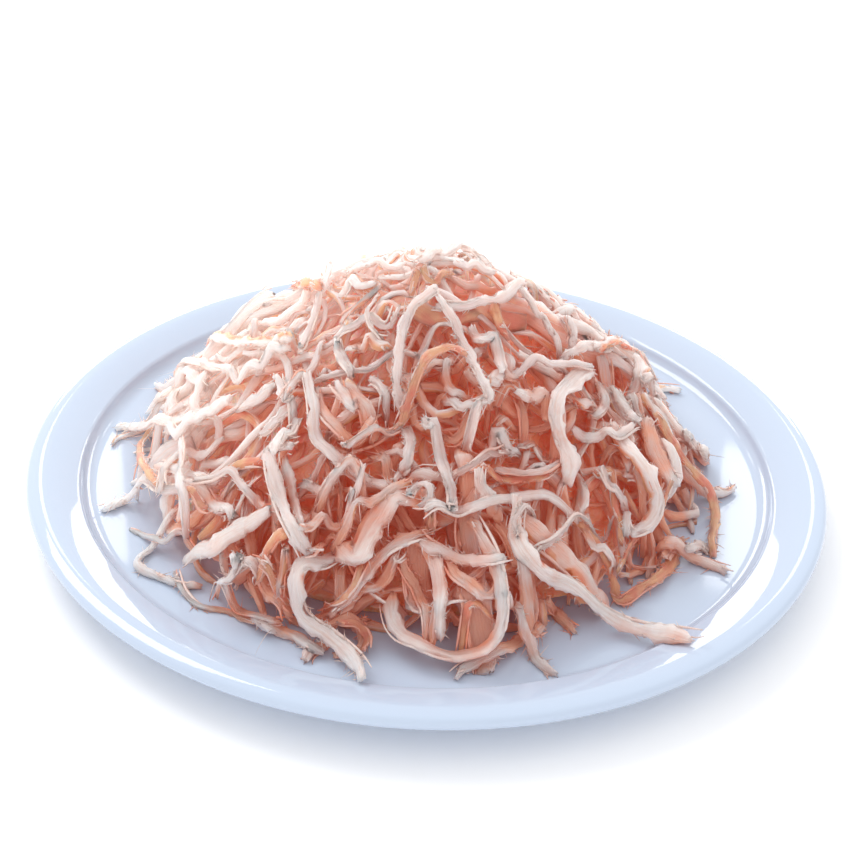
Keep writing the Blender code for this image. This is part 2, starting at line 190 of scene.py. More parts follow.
# Strands: fibre bundles that peel off a shred's edges or stick out of its ends
SIDE_STRANDS, END_STRANDS = 2, 5
STRAND_STEP = 0.0013
STRAND_ROUND = 6
SIDE_RADIUS = (0.00022, 0.00050)
PEEL = (0.0001, 0.0014)   # away from the shred, at the free end
PEEL_RISE = (-0.0004, 0.0008)
PEEL_SHORT, PEEL_LONG = -0.04, 0.03       # of the shred's length, from its end to the strand's
STRAND_PLACE, STRAND_SPREAD = 0.32, 0.14  # of the width, from the middle outwards
END_LENGTH = (0.0010, 0.0028)
END_ROOT = (0.001, 0.004)
END_RADIUS = (0.00014, 0.00034)
END_AIM, END_PLACE, END_BOW = 0.12, 0.22, 0.5     # spread of its way, of its place and of its bow

# Hairs: short fuzz along the edges, and longer loose ones
FUZZ = 4800               # for each metre of the fuzziest shred
FUZZ_LENGTH = (0.0005, 0.0006)            # least, and what is added on average
FUZZ_RADIUS = (0.00010, 0.00018)
HAIR_LENGTH = (0.0015, 0.0015)
LONGEST_HAIR = 0.007
HAIR_RADIUS = (0.00007, 0.00015)
FUZZ_RINGS, HAIR_RINGS = 2, 6
HAIR_ROUND = 3
HAIR_ROOT = (0.30, 0.48)                  # of the width, from the middle
HAIR_HEIGHT = (-0.2, 0.4)                 # of the thickness
HAIR_OUT = (0.1, 1.2)                     # outwards, beside 1 along the shred
HAIR_SPREAD, HAIR_UP, HAIR_BOW = 0.3, 0.15, 0.35
HAIR_FULL = 1.15          # of its radius at the root, and by 1 less at the tip

# How light changes flesh, painted as light and shade.
# Behind and to the left it is painted as lit through, and front right as in the shade
# Painted shade and glow in the heap's depth
GLOW_DEPTH = 0.007        # how deep in the heap flesh is at its warmest
# Painted shade in front and painted light behind
FRONT_WARMTH = 0.30       # how much warmer the shreds in front are, and whiter those behind
FRONT_SIDEWAYS = 0.9      # how much the way to the right counts, beside the way to the front
FRONT_RIGHT = 0.030       # from here on, further to the right makes no difference
FRONT_START = 0.008       # how far behind the middle front and behind meet
FRONT_REACH = 0.042       # from there to where it is all front or all behind
# Painted light: behind, the flesh is painted whiter
BACK_GLOW = 1.00          # how much less the depth warms the flesh behind
# Strands and hairs get less of the painted shade and glow
PALER = 0.15              # how much less warm strands and hairs are than their shred
TONE_SPREAD = 0.08        # between shreds
# Painted glow: the flesh emits light that stands in for light coming through it
THROUGH = 0.06            # strength of the light that comes through flesh

# Finishes of the flesh: name, roughness and how much light goes in
FINISHES = {
    FLESH: ("torn dried flesh", 0.52, 0.9),
    EDGED: ("flesh with skin", 0.48, 0.9),
    SKIN: ("skin side", 0.36, 0.9),
    BLUSH: ("blushed flesh", 0.48, 0.9),
    STRANDS: ("torn strands", 0.55, 0.0),
}
FIBRE_FINISH = ("frayed fibres", 0.5, 0.0)
BLACK, WHITE = (0, 0, 0), (1, 1, 1)
COLOURS = {"data_type": "RGBA"}           # settings of a Mix node
TINT = {"data_type": "RGBA", "blend_type": "MULTIPLY"}
SHARE, FIRST, SECOND, MIXED = 0, 6, 7, 2  # sockets of a Mix node for colours

# Camera, fitted to the plate's outlines in the photo
CAMERA_PLACE = np.array([-0.002171, -0.330931, 0.227596])
CAMERA_ANGLES = (0.0378, 32.1691, 2.4973)    # yaw, pitch and roll
CAMERA_LENS, SENSOR = 59.645, 36
FRAME = 845               # pixels

# Stage: what sets a light's power, its place, its aim, its width and its height
STAGE_SIZE = 6.0
LIGHTS = (
    ("window", (-0.40, 1.20, 0.88), (0, 0, 0.01), 0.13, 0.10),
    ("window", (0.40, 1.20, 0.88), (0, 0, 0.01), 0.13, 0.10),
    ("sun", (0, 1.20, 0.40), (0, 0, 0.03), 1.4, 0.25),
    ("softbox", (-0.70, 0.70, 1.15), (0, 0, 0), 0.8, 0.6),
    ("fill", (-0.35, -1.3, 0.42), (0, 0, 0.03), 1.6, 0.7),
)

UPWARD = np.array([0.0, 0.0, 1.0])
ODD_WAY = np.array([0.31, 0.52, 0.79])    # along no shred, for a tube's first spoke

# Shreds that show, lowest first: kind, tone (above 0 warmer), width, lift of the start, lift of the
# end and arch in mm, and the way as the camera sees it, as x, y pairs in a picture 845 wide
TRACED = [
    (FLESH, -0.1, 2.8, 0, 0, 0, (104, 510, 129, 499, 161, 493, 192, 489, 215, 486)),
    (BLUSH, 0, 1.7, 0, 0, 0, (131, 531, 157, 539, 186, 546, 208, 548)),
    (BLUSH, 0.15, 1.6, 0, 0, 0, (175, 573, 180, 590, 199, 610, 222, 611, 253, 621, 275, 628)),
    (FLESH, -0.3, 3.1, 0, 0, 0, (253, 619, 275, 628, 303, 642, 322, 652)),
    (FLESH, -0.1, 1.8, 0, 1, 0, (217, 598, 234, 608, 255, 616, 280, 622)),
    (FLESH, 0, 2.7, 0, 0, 2, (222, 590, 242, 581, 263, 587, 282, 602, 288, 616)),
    (FLESH, 0.1, 3, 0, 0, 0, (230, 540, 236, 565, 240, 585)),
    (FLESH, 0.15, 2.7, 0, 0, 1, (318, 630, 343, 621, 360, 628, 366, 642, 357, 654, 335, 655)),
    (SKIN, 0.3, 1.9, 0, 0, 0, (340, 622, 357, 624, 368, 636, 364, 652)),
    (SKIN, 0.5, 1.8, 0, 0, 1, (462, 633, 467, 615, 478, 608, 490, 613, 492, 624)),
    (FLESH, 0.35, 2.9, 0, 0, 0, (445, 571, 467, 581, 487, 598, 498, 612)),
    (BLUSH, 0.4, 2.5, 0, 0, 0, (400, 560, 418, 590, 428, 618, 434, 640)),
    (FLESH, 0.35, 3.4, 0, 0, 0, (414, 548, 431, 573, 441, 594, 439, 640)),
    (FLESH, 0.3, 3.8, 0, 0, 0, (496, 518, 510, 543, 516, 565, 527, 592, 532, 612)),
    (BLUSH, 0.3, 2.3, 0, 0, 0, (545, 600, 560, 618, 575, 632)),
    (FLESH, 0.3, 3.1, 0, 0, 0, (519, 590, 530, 612, 541, 634)),
    (FLESH, 0.1, 2.3, 0, 0, 0, (505, 596, 513, 615, 525, 640, 538, 663, 556, 673)),
    (FLESH, 0.2, 3.4, 0, 0, 0, (392, 594, 389, 612, 395, 634, 414, 654, 443, 661, 471, 654, 496, 634, 505,
     610, 500, 581, 489, 545, 471, 520)),
    (FLESH, 0.25, 2.9, 0, 0, 0, (422, 543, 443, 552, 462, 560, 506, 560)),
    (FLESH, 0.2, 2.3, 0, 0, 1, (399, 552, 395, 571, 376, 588, 357, 600, 340, 612)),
    (FLESH, 0.15, 2.9, 0, 0, 1, (432, 530, 404, 539, 379, 556, 362, 581, 347, 600, 330, 616)),
    (SKIN, 0.55, 1.5, 0, 0, 1, (364, 560, 354, 587, 339, 604, 322, 609)),
    (SKIN, 0.25, 3.1, 0, 0, 2, (258, 578, 266, 562, 284, 552, 302, 553)),
    (SKIN, 0.25, 2.3, 0, 0, 1, (262, 580, 276, 588, 287, 602)),
    (EDGED, 0.3, 2.7, 0, 0, 2, (282, 586, 303, 575, 318, 558)),
    (BLUSH, 0.3, 1.9, 0, 0, 1, (278, 572, 292, 570, 300, 560)),
    (FLESH, -0.3, 4.1, 1, 0, 1, (332, 556, 318, 577, 302, 586, 293, 604, 299, 620, 324, 633, 343, 648, 357,
     663, 362, 680)),
    (SKIN, 0.1, 2.2, 0, 0, 1, (152, 428, 139, 444, 141, 464, 157, 485)),
    (FLESH, -0.3, 3, 0, 1, 0, (117, 427, 148, 424, 177, 421, 212, 413)),
    (FLESH, -0.35, 2.5, 0, 0, 1, (155, 466, 182, 472, 207, 481, 221, 488)),
    (FLESH, 0.1, 3.7, 0, 0, 0, (186, 498, 210, 505, 232, 515)),
    (SKIN, 0.35, 1.8, 0, 0, 1, (207, 523, 192, 520, 176, 513)),
    (SKIN, 0.3, 3, 0, 0, 0, (220, 473, 242, 464, 264, 461)),
    (FLESH, -0.3, 2.2, 0, 0, 1, (160, 490, 163, 470, 176, 455, 200, 445, 222, 436)),
    (FLESH, -0.35, 2.6, 0, 1, 2, (185, 500, 178, 478, 183, 455, 180, 430)),
    (FLESH, -0.2, 2, 0, 0, 1, (196, 479, 234, 479, 259, 502, 268, 516)),
    (EDGED, -0.15, 4.6, 0, 0, 1, (186, 560, 215, 543, 245, 525, 268, 512)),
    (FLESH, -0.35, 3.2, 2, 0, 1, (230, 400, 215, 412, 200, 420, 170, 440)),
    (EDGED, 0.05, 3.4, 0, 0, 1, (150, 412, 165, 400, 178, 380, 190, 362)),
    (FLESH, -0.35, 2.6, 0, 2, 1, (180, 350, 205, 365, 230, 372, 262, 362)),
    (FLESH, -0.3, 2.6, 0, 2, 2, (232, 392, 250, 378, 268, 362, 290, 350)),
    (BLUSH, 0.1, 3.1, 0, 0, 1, (240, 410, 258, 398, 274, 385)),
    (EDGED, 0, 3.4, 0, 0, 2, (262, 440, 282, 415, 300, 400)),
    (FLESH, -0.2, 2.4, 1, 0, 2, (275, 372, 283, 392, 290, 412, 296, 440)),
    (EDGED, 0, 2.9, 1, 1, 1, (207, 331, 222, 341, 252, 343, 290, 343)),
    (FLESH, -0.35, 1.9, 3, 0, 1, (331, 272, 321, 293, 314, 316, 302, 345, 299, 360)),
    (BLUSH, 0.2, 2, 0, 0, 2, (284, 400, 292, 385, 302, 372, 312, 388)),
    (FLESH, 0, 2.4, 0, 0, 1, (284, 457, 291, 487, 303, 533)),
    (FLESH, -0.3, 3.4, 2, 0, 1, (290, 428, 268, 447, 272, 476, 284, 510, 301, 543, 308, 552)),
    (FLESH, -0.4, 3.4, 3, 2, 0, (272, 452, 284, 432, 298, 424)),
    (EDGED, 0.3, 3.9, 0, 0, 0, (345, 385, 362, 405, 375, 430)),
    (BLUSH, 0.5, 3.1, 0, 0, 0, (318, 405, 338, 428, 352, 440, 372, 425)),
    (FLESH, 0.4, 2.3, 0, 0, 1, (370, 455, 385, 470, 398, 495)),
    (BLUSH, 0.35, 2.6, 1, 0, 1, (336, 383, 347, 398, 355, 414)),
    (FLESH, -0.1, 3, 0, 0, 1, (308, 379, 313, 402, 315, 431, 331, 456, 360, 481, 392, 488)),
    (FLESH, 0.15, 2.3, 0, 1, 1, (300, 480, 322, 492, 345, 486, 368, 500)),
    (BLUSH, 0.4, 2.2, 1, 1, 1, (318, 508, 335, 498, 352, 508, 365, 520)),
    (BLUSH, 0.55, 1.9, 0, 0, 1, (310, 556, 322, 543, 345, 538, 362, 530)),
    (BLUSH, 0.3, 2.3, 0, 0, 1, (302, 528, 330, 527, 352, 530)),
    (EDGED, 0.15, 6.6, 0, 0, 1, (343, 553, 368, 528, 396, 510, 430, 499)),
    (BLUSH, 0.45, 2.1, 0, 0, 1, (333, 545, 357, 514, 385, 493, 412, 480)),
    (SKIN, 0.4, 1.9, 0, 0, 1, (426, 532, 433, 519, 430, 508)),
    (FLESH, -0.2, 1.6, 1, 1, 2, (408, 503, 411, 490, 421, 482, 431, 487, 430, 499, 420, 505)),
    (FLESH, 0.2, 2.3, 0, 0, 2, (481, 384, 494, 399, 479, 426, 464, 439, 448, 424)),
    (FLESH, 0, 2.4, 0, 0, 1, (435, 393, 460, 408, 484, 404)),
    (EDGED, 0.35, 2.8, 0, 0, 0, (498, 396, 522, 396, 552, 398)),
    (FLESH, 0.3, 3.6, 0, 0, 0, (515, 420, 535, 415, 548, 425)),
    (FLESH, -0.3, 3, 2, 0, 0, (491, 420, 500, 434, 508, 448, 517, 456)),
    (FLESH, -0.1, 1.6, 0, 0, 1, (517, 441, 532, 440, 552, 436)),
    (FLESH, 0.15, 1.9, 0, 0, 1, (448, 479, 481, 462, 508, 452)),
    (SKIN, 0.4, 2.2, 0, 0, 0, (473, 471, 509, 482, 546, 477, 560, 462)),
    (BLUSH, 0.2, 1.8, 0, 0, 1, (497, 465, 520, 474, 548, 470, 566, 455)),
    (FLESH, 0.25, 3.1, 0, 0, 0, (478, 480, 490, 500, 500, 520)),
    (FLESH, 0.3, 5.1, 0, 0, 0, (648, 422, 653, 447, 664, 470, 672, 486)),
    (FLESH, 0.25, 3, 0, 0, 0, (622, 428, 626, 450, 628, 470)),
    (FLESH, 0.1, 3, 0, 0, 0, (684, 438, 698, 446, 705, 462)),
    (EDGED, 0.25, 6.8, 0, 0, 0, (522, 520, 549, 545, 578, 572, 606, 598)),
    (SKIN, 0.4, 2.2, 0, 0, 1, (572, 514, 595, 543, 612, 571, 618, 600)),
    (BLUSH, 0.4, 2, 0, 0, 1, (584, 530, 602, 562, 614, 590)),
    (SKIN, 0.5, 2.6, 0, 0, 2, (677, 549, 670, 567, 652, 583, 633, 592, 614, 592)),
    (BLUSH, 0.1, 2.6, 1, 0, 0, (664, 556, 673, 548, 684, 540)),
    (SKIN, 0.5, 1.6, 0, 0, 1, (664, 526, 652, 534, 633, 543, 622, 562, 617, 575)),
    (FLESH, 0.05, 3.2, 0, 0, 1, (662, 524, 679, 546, 692, 558, 710, 564, 725, 571)),
    (FLESH, -0.2, 3, 0, 0, 1, (688, 552, 700, 545, 712, 552)),
    (SKIN, 0.1, 2.6, 1, 0, 2, (656, 414, 673, 443, 690, 472, 710, 491, 717, 514, 711, 543, 714, 556)),
    (EDGED, -0.1, 3.8, 0, 0, 2, (612, 426, 622, 443, 643, 464, 656, 487, 658, 510, 648, 526, 630, 533)),
    (SKIN, 0.35, 2, 0, 0, 1, (594, 476, 606, 495, 622, 523, 622, 540)),
    (FLESH, -0.3, 2.2, 2, 0, 1, (601, 468, 618, 489, 627, 514, 626, 535)),
    (FLESH, -0.1, 2.5, 0, 0, 1, (574, 428, 595, 443, 614, 439, 635, 424)),
    (FLESH, -0.2, 2.6, 0, 0, 1, (612, 388, 625, 409, 638, 426)),
    (FLESH, -0.1, 2.2, 1, 0, 2, (640, 380, 655, 392, 662, 410)),
    (BLUSH, 0.1, 2.5, 0, 0, 1, (598, 384, 606, 400, 600, 415, 588, 420)),
    (EDGED, 0.15, 2.6, 0, 0, 1, (568, 396, 580, 404, 596, 404)),
    (FLESH, 0.05, 4, 1, 0, 2, (592, 370, 574, 380, 560, 396, 554, 417, 560, 440, 572, 466, 566, 486)),
    (FLESH, -0.35, 2.2, 0, 1, 2, (512, 378, 540, 368, 568, 363, 590, 372)),
    (BLUSH, 0, 3.4, 2, 0, 0, (492, 384, 502, 374, 514, 378)),
    (FLESH, 0.05, 2.6, 0, 0, 1, (425, 522, 454, 514, 481, 502, 519, 495, 548, 495, 580, 503)),
    (FLESH, 0.05, 3.8, 0, 0, 1, (516, 504, 513, 535, 530, 565, 556, 590, 587, 610, 614, 623, 652, 633, 690,
     640)),
    (FLESH, -0.3, 1, 0, 0, 3, (532, 551, 551, 543, 563, 533, 573, 524, 588, 521, 604, 529, 610, 542)),
    (FLESH, -0.3, 1, 0, 0, 3, (518, 536, 513, 520, 523, 506, 538, 503)),
    (SKIN, -0.2, 1.8, 0, 1, 1, (412, 286, 429, 277, 452, 273)),
    (BLUSH, 0.15, 3.3, 0, 0, 0, (370, 322, 388, 316, 407, 308)),
    (BLUSH, 0.05, 3, 0, 0, 1, (340, 296, 354, 288, 372, 284)),
    (SKIN, 0.1, 2.7, 0, 0, 1, (493, 305, 498, 320, 506, 338)),
    (BLUSH, 0, 3.2, 0, 0, 1, (500, 300, 512, 290, 520, 282)),
    (SKIN, -0.1, 2.7, 1, 0, 1, (294, 286, 306, 286, 320, 290)),
    (FLESH, -0.4, 2.6, 1, 1, 2, (344, 276, 362, 268, 382, 262, 402, 266)),
    (FLESH, -0.4, 3, 1, 1, 2, (420, 262, 440, 256, 462, 252, 482, 262)),
    (BLUSH, -0.2, 2.6, 1, 1, 2, (455, 262, 475, 268, 492, 280)),
    (FLESH, -0.4, 2.6, 0, 1, 2, (520, 300, 535, 312, 552, 330, 560, 350)),
    (BLUSH, -0.1, 2.6, 0, 1, 2, (548, 322, 562, 320, 574, 332, 572, 350)),
    (FLESH, -0.3, 2.6, 0, 1, 2, (560, 360, 575, 350, 592, 344, 612, 350)),
    (EDGED, 0, 3.1, 0, 1, 2, (598, 350, 618, 342, 640, 352, 655, 368)),
    (FLESH, -0.3, 2.1, 0, 0, 1, (336, 337, 345, 329, 372, 331, 397, 328)),
    (FLESH, -0.3, 2.8, 0, 0, 0, (336, 336, 340, 354, 352, 375)),
    (EDGED, 0.05, 3, 0, 0, 0, (349, 350, 368, 347, 390, 346)),
    (FLESH, -0.3, 2.6, 2, 0, 0, (372, 378, 385, 393, 387, 412)),
    (FLESH, -0.35, 1, 1, 0, 2, (378, 294, 366, 314, 370, 326, 382, 338)),
    (FLESH, -0.3, 2.3, 0, 1, 1, (437, 308, 475, 305, 500, 299, 523, 290)),
    (FLESH, -0.1, 2.6, 0, 1, 2, (470, 330, 488, 345, 498, 360, 502, 372)),
    (FLESH, -0.2, 2.4, 0, 0, 1, (452, 362, 444, 378, 452, 392, 470, 396)),
    (FLESH, -0.1, 2.4, 2, 0, 4, (437, 324, 453, 334, 472, 360, 493, 398, 481, 418, 468, 440)),
    (FLESH, -0.4, 2.4, 2, 0, 4, (436, 287, 416, 303, 403, 326, 397, 364, 396, 393, 403, 416)),
    (FLESH, 0.05, 2.6, 0, 0, 1, (404, 420, 410, 440, 406, 462, 396, 480)),
    (BLUSH, 0, 1.8, 0, 3, 1, (403, 424, 379, 439, 353, 449, 343, 446, 344, 435)),
    (SKIN, 0, 2.4, 1, 0, 5, (466, 354, 449, 345, 431, 356, 416, 379, 407, 406, 402, 424)),
    (FLESH, -0.35, 2.9, 3, 0, 0, (423, 420, 433, 443, 443, 466, 452, 495, 450, 527)),
]


def linear(code):
    """An sRGB hex colour as linear red, green and blue."""
    shares = [int(code[place:place + 2], 16) / 255 for place in (1, 3, 5)]
    return tuple(c / 12.92 if c <= 0.04045 else ((c + 0.055) / 1.055) ** 2.4 for c in shares)


def size(name, description, default):
    """A length setting."""
    return FloatProperty(name=name, description=description, default=default, unit="LENGTH")


def colour(name, description, code):
    """A colour setting from its sRGB hex value."""
    return FloatVectorProperty(name=name, description=description, default=linear(code),
                               subtype="COLOR", size=3, min=0.0, max=1.0)


class PlateSettings(bpy.types.PropertyGroup):
    """Sizes and glaze of the plate."""

    radius: size("Radius", "Out to the lip", CAD_HIGH.x)
    rim_top: size("Rim height", "Top of the rim above the table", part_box("plate")[1].z)
    floor_top: size("Floor height", "Upper face of the well above the table", 0.0062)
    well_radius: size("Well radius", "Flat floor out to here", 0.0920)
    sides: IntProperty(name="Sides", description="Faces round the plate", default=192)
    glaze: colour("Glaze", "Colour of the glazed porcelain", "#B8C5D8")


class HeapSettings(bpy.types.PropertyGroup):
    """Form, counts and colours of the heap."""

    middle_x: size("Middle X", "Middle of the heap", -0.002)
    middle_y: size("Middle Y", "Middle of the heap", 0.004)
    radius_x: size("Radius X", "Half the heap's width", 0.081)
    radius_y: size("Radius Y", "Half the heap's depth", 0.083)
    height: size("Height", "Of the smooth heap above the plate's floor", 0.061)
    peak: FloatProperty(name="Peak", description="1 is a sharp peak, 2 a round top", default=1.45)
    flank: FloatProperty(name="Flank", description="Under 1 the flank bulges", default=0.85)
    seed: IntProperty(name="Seed", description="Start of the random draws", default=5)
    covers: IntProperty(name="Covers", description="Shreds laid over the heap", default=900)
    strays: IntProperty(name="Strays", description="Shreds round the foot", default=32)
    fibres: IntProperty(name="Fibres", description="Longer loose hairs on the shreds", default=500)
    flesh: colour("Flesh", "Clean dried flesh", "#FDF1E9")
    # Painted shade and glow: warm flesh is painted shade, deep flesh a painted glow through other shreds
    warm_flesh: colour("Warm flesh", "Flesh in the heap's shade", "#F2C4B5")
    deep_flesh: colour("Deep flesh", "Flesh far in the heap, lit through other shreds", "#FFB093")
    blush: colour("Blush", "Flesh next to the skin", "#F9C0AC")
    skin: colour("Skin", "Orange skin", "#F7AA80")
    red_skin: colour("Red skin", "Darker patches of the skin", "#EA8068")
    # Painted glow: colours that the flesh emits
    through: colour("Through", "Light that many layers of flesh let through", "#D44F2D")
    glow: colour("Glow", "Light that comes through the flesh behind", "#FFF0EA")
    # Painted shade on the side away from the window
    shade: colour("Shade", "Takes from all flesh on the side away from the window", "#E2DDDF")
    # Painted shade and glow on the core: orange in front, pale behind
    core: colour("Core", "Flesh in the heap's depth, in front", "#FFB294")
    pale_core: colour("Pale core", "Flesh in the heap's depth, behind", "#FFF2EA")


class StageSettings(bpy.types.PropertyGroup):
    """Floor and light."""

    floor: colour("Floor", "Pale floor", "#FAFAFB")
    window: FloatProperty(name="Window", description="Power of each window pane", default=0.16)
    softbox: FloatProperty(name="Softbox", description="Power of the light overhead", default=9.0)
    sun: FloatProperty(name="Low sun", description="Power of the low light behind", default=5.0)
    fill: FloatProperty(name="Fill", description="Power of the low light in front", default=1.0)
    sky: FloatProperty(name="Sky", description="Strength of the light all round", default=1.15)


def plate_settings():
    """Sizes and glaze of the plate, as the panel has them."""
    return bpy.context.scene.squid_plate


def heap_settings():
    """Form, counts and colours of the heap, as the panel has them."""
    return bpy.context.scene.squid_heap


# Small tools


def deselect_all():
    """Leave nothing selected."""
    for thing in bpy.context.selected_objects:
        thing.select_set(False)
    bpy.context.view_layer.objects.active = None


def add(tree, kind, output, inputs, stops=(), **settings):
    """Add a node and give one output. An input that is a socket is linked, any other is a value."""
    node = tree.nodes.new("ShaderNode" + kind)
    for name, value in settings.items():
        setattr(node, name, value)
    for name, value in inputs.items():
        if isinstance(value, bpy.types.NodeSocket):
            tree.links.new(value, node.inputs[name])
        else:
            node.inputs[name].default_value = value
    for _ in stops[2:]:
        node.color_ramp.elements.new(0.5)
    for place, (position, tone) in enumerate(stops):
        node.color_ramp.elements[place].position = position
        node.color_ramp.elements[place].color = (*tone, 1.0)
    return node.outputs[output]


def feed(shader, **sources):
    """Link outputs or set constants on a shader's sockets, whose names have _ for a space."""
    for name, value in sources.items():
        socket = shader.inputs[name.replace("_", " ")]
        if isinstance(value, bpy.types.NodeSocket):
            shader.id_data.links.new(value, socket)
        else:
            socket.default_value = value


def new_material(name, **constants):
    """A principled material with constants set; gives it, its tree and its shader."""
    material = bpy.data.materials.new(name)
    material.use_nodes = True
    shader = material.node_tree.nodes["Principled BSDF"]
    feed(shader, **constants)
    return material, material.node_tree, shader


def dress(piece, material, node=None):
    """Give a piece its material and tell the frame what it is."""
    piece.data.materials.clear()
    piece.data.materials.append(material)
    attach(piece, "root")
    if node:
        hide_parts(node)


def ease(values, passes):
    """Even out a row of values in place, all but the two at its ends."""
    for _ in range(passes):
        values[1:-1] = (values[:-2] + 2 * values[1:-1] + values[2:]) / 4
    return values


def between(values, places, at):
    """Points along a line, from those at other places along it."""
    return np.column_stack([np.interp(at, places, column) for column in values.T])


def unit(vectors):
    """The same ways with a length of 1."""
    return vectors / np.linalg.norm(vectors, axis=-1, keepdims=True)


# Materials


def glazed_porcelain():
    """Porcelain under a clear glaze, dipped and fired: bluish white, glossy and nearly flat."""
    glaze = (*plate_settings().glaze, 1.0)
    material, tree, shader = new_material("glazed porcelain", Base_Color=glaze, Roughness=0.04, IOR=1.52)
    place = add(tree, "TexCoord", "Object", {})
    # The glaze pools in waves 30 mm apart, which only its reflections show
    waves = add(tree, "TexNoise", "Fac", {"Vector": place, "Scale": 33.0, "Detail": 1.0})
    feed(shader, Normal=add(tree, "Bump", "Normal", {"Height": waves, "Strength": 0.05, "Distance": 0.001}))
    return material


def lit_flesh(tree, warmth, patches, front):
    """Flesh's colour, warmer in patches, painted shade in the depth, and the painted glow it emits."""
    heap = heap_settings()
    # Painted shade and glow, evened out by random patches
    uneven = add(tree, "Math", 0, {0: patches, 1: 0.7, 2: warmth}, operation="MULTIPLY_ADD")
    tones = ((0.30, heap.flesh), (0.70, heap.warm_flesh), (1.0, heap.deep_flesh))
    flesh = add(tree, "ValToRGB", "Color", {"Fac": uneven}, tones)
    # Painted glow, emitted: red in the depth, and clear in what the window lights from behind
    through = add(tree, "ValToRGB", "Color", {"Fac": uneven}, ((0.38, BLACK), (0.95, heap.through)))
    behind = add(tree, "ValToRGB", "Color", {"Fac": front}, ((0.05, WHITE), (0.50, BLACK)))
    light = add(tree, "Mix", MIXED, {SHARE: behind, FIRST: through, SECOND: (*heap.glow, 1.0)}, **COLOURS)
    return flesh, light


def with_skin(tree, flesh, skin, fibres, patches):
    """Colour of flesh with a blush and then skin on it, where the skin's border frays along the fibres."""
    heap = heap_settings()
    red = add(tree, "ValToRGB", "Color", {"Fac": patches}, ((0.42, BLACK), (0.62, WHITE)))
    skin_tone = add(tree, "Mix", MIXED, {SHARE: red, FIRST: (*heap.skin, 1.0), SECOND: (*heap.red_skin, 1.0)},
                    **COLOURS)
    frayed = add(tree, "Math", 0, {0: skin, 1: fibres, 2: skin}, operation="MULTIPLY_ADD")
    border = add(tree, "ValToRGB", "Color", {"Fac": frayed}, ((0.25, BLACK), (0.70, WHITE)))
    whole = add(tree, "ValToRGB", "Color", {"Fac": frayed}, ((0.70, BLACK), (1.0, WHITE)))
    tone = add(tree, "Mix", MIXED, {SHARE: border, FIRST: flesh, SECOND: (*heap.blush, 1.0)}, **COLOURS)
    return add(tree, "Mix", MIXED, {SHARE: whole, FIRST: tone, SECOND: skin_tone}, **COLOURS)


def dried_flesh(name, roughness, translucence):
    """Dried squid torn along its grain: satin flesh in fine fibres, with glossy skin on one side.

    Light goes some 11 mm into it and comes out warm, and it emits a painted glow. The attributes are a
    point's painted shade and glow, how much skin it has, how far it is to the front, and its place across,
    through and along the shred in mm.
    """
    material, tree, shader = new_material(name, Roughness=roughness, IOR=1.45, Subsurface_Weight=translucence,
                                          Subsurface_Scale=0.0110, Subsurface_Radius=(1.0, 0.90, 0.85),
                                          Emission_Strength=THROUGH)
    warmth, skin, front = (add(tree, "Attribute", "Fac", {}, attribute_name=label)
                           for label in ("warmth", "skin", "front"))
    grain = add(tree, "Attribute", "Vector", {}, attribute_name="grain")
    # Fibres are 0.4 mm apart and run some 12 mm
    stretched = add(tree, "Mapping", "Vector", {"Vector": grain, "Scale": (2.4, 2.4, 0.08)})
    fibres = add(tree, "TexNoise", "Fac",
                 {"Vector": stretched, "Scale": 1.0, "Detail": 3.0, "Roughness": 0.6})
    # Blotches are 5 mm wide
    patches = add(tree, "TexNoise", "Fac", {"Vector": grain, "Scale": 0.2, "Detail": 2.0})
    flesh, light = lit_flesh(tree, warmth, patches, front)
    streaks = add(tree, "ValToRGB", "Color", {"Fac": fibres}, ((0.32, (0.97, 0.85, 0.78)), (0.54, WHITE)))
    flesh = add(tree, "Mix", MIXED, {SHARE: 0.8, FIRST: flesh, SECOND: streaks}, **TINT)
    tone = with_skin(tree, flesh, skin, fibres, patches)
    # Painted shade: the side away from the window is darkened
    shade = add(tree, "ValToRGB", "Color", {"Fac": front}, ((0.25, WHITE), (0.95, heap_settings().shade)))
    feed(shader, Base_Color=add(tree, "Mix", MIXED, {SHARE: 1.0, FIRST: tone, SECOND: shade}, **TINT),
         Normal=add(tree, "Bump", "Normal", {"Height": fibres, "Strength": 0.6, "Distance": 0.0008}),
         Emission_Color=light)
    return material


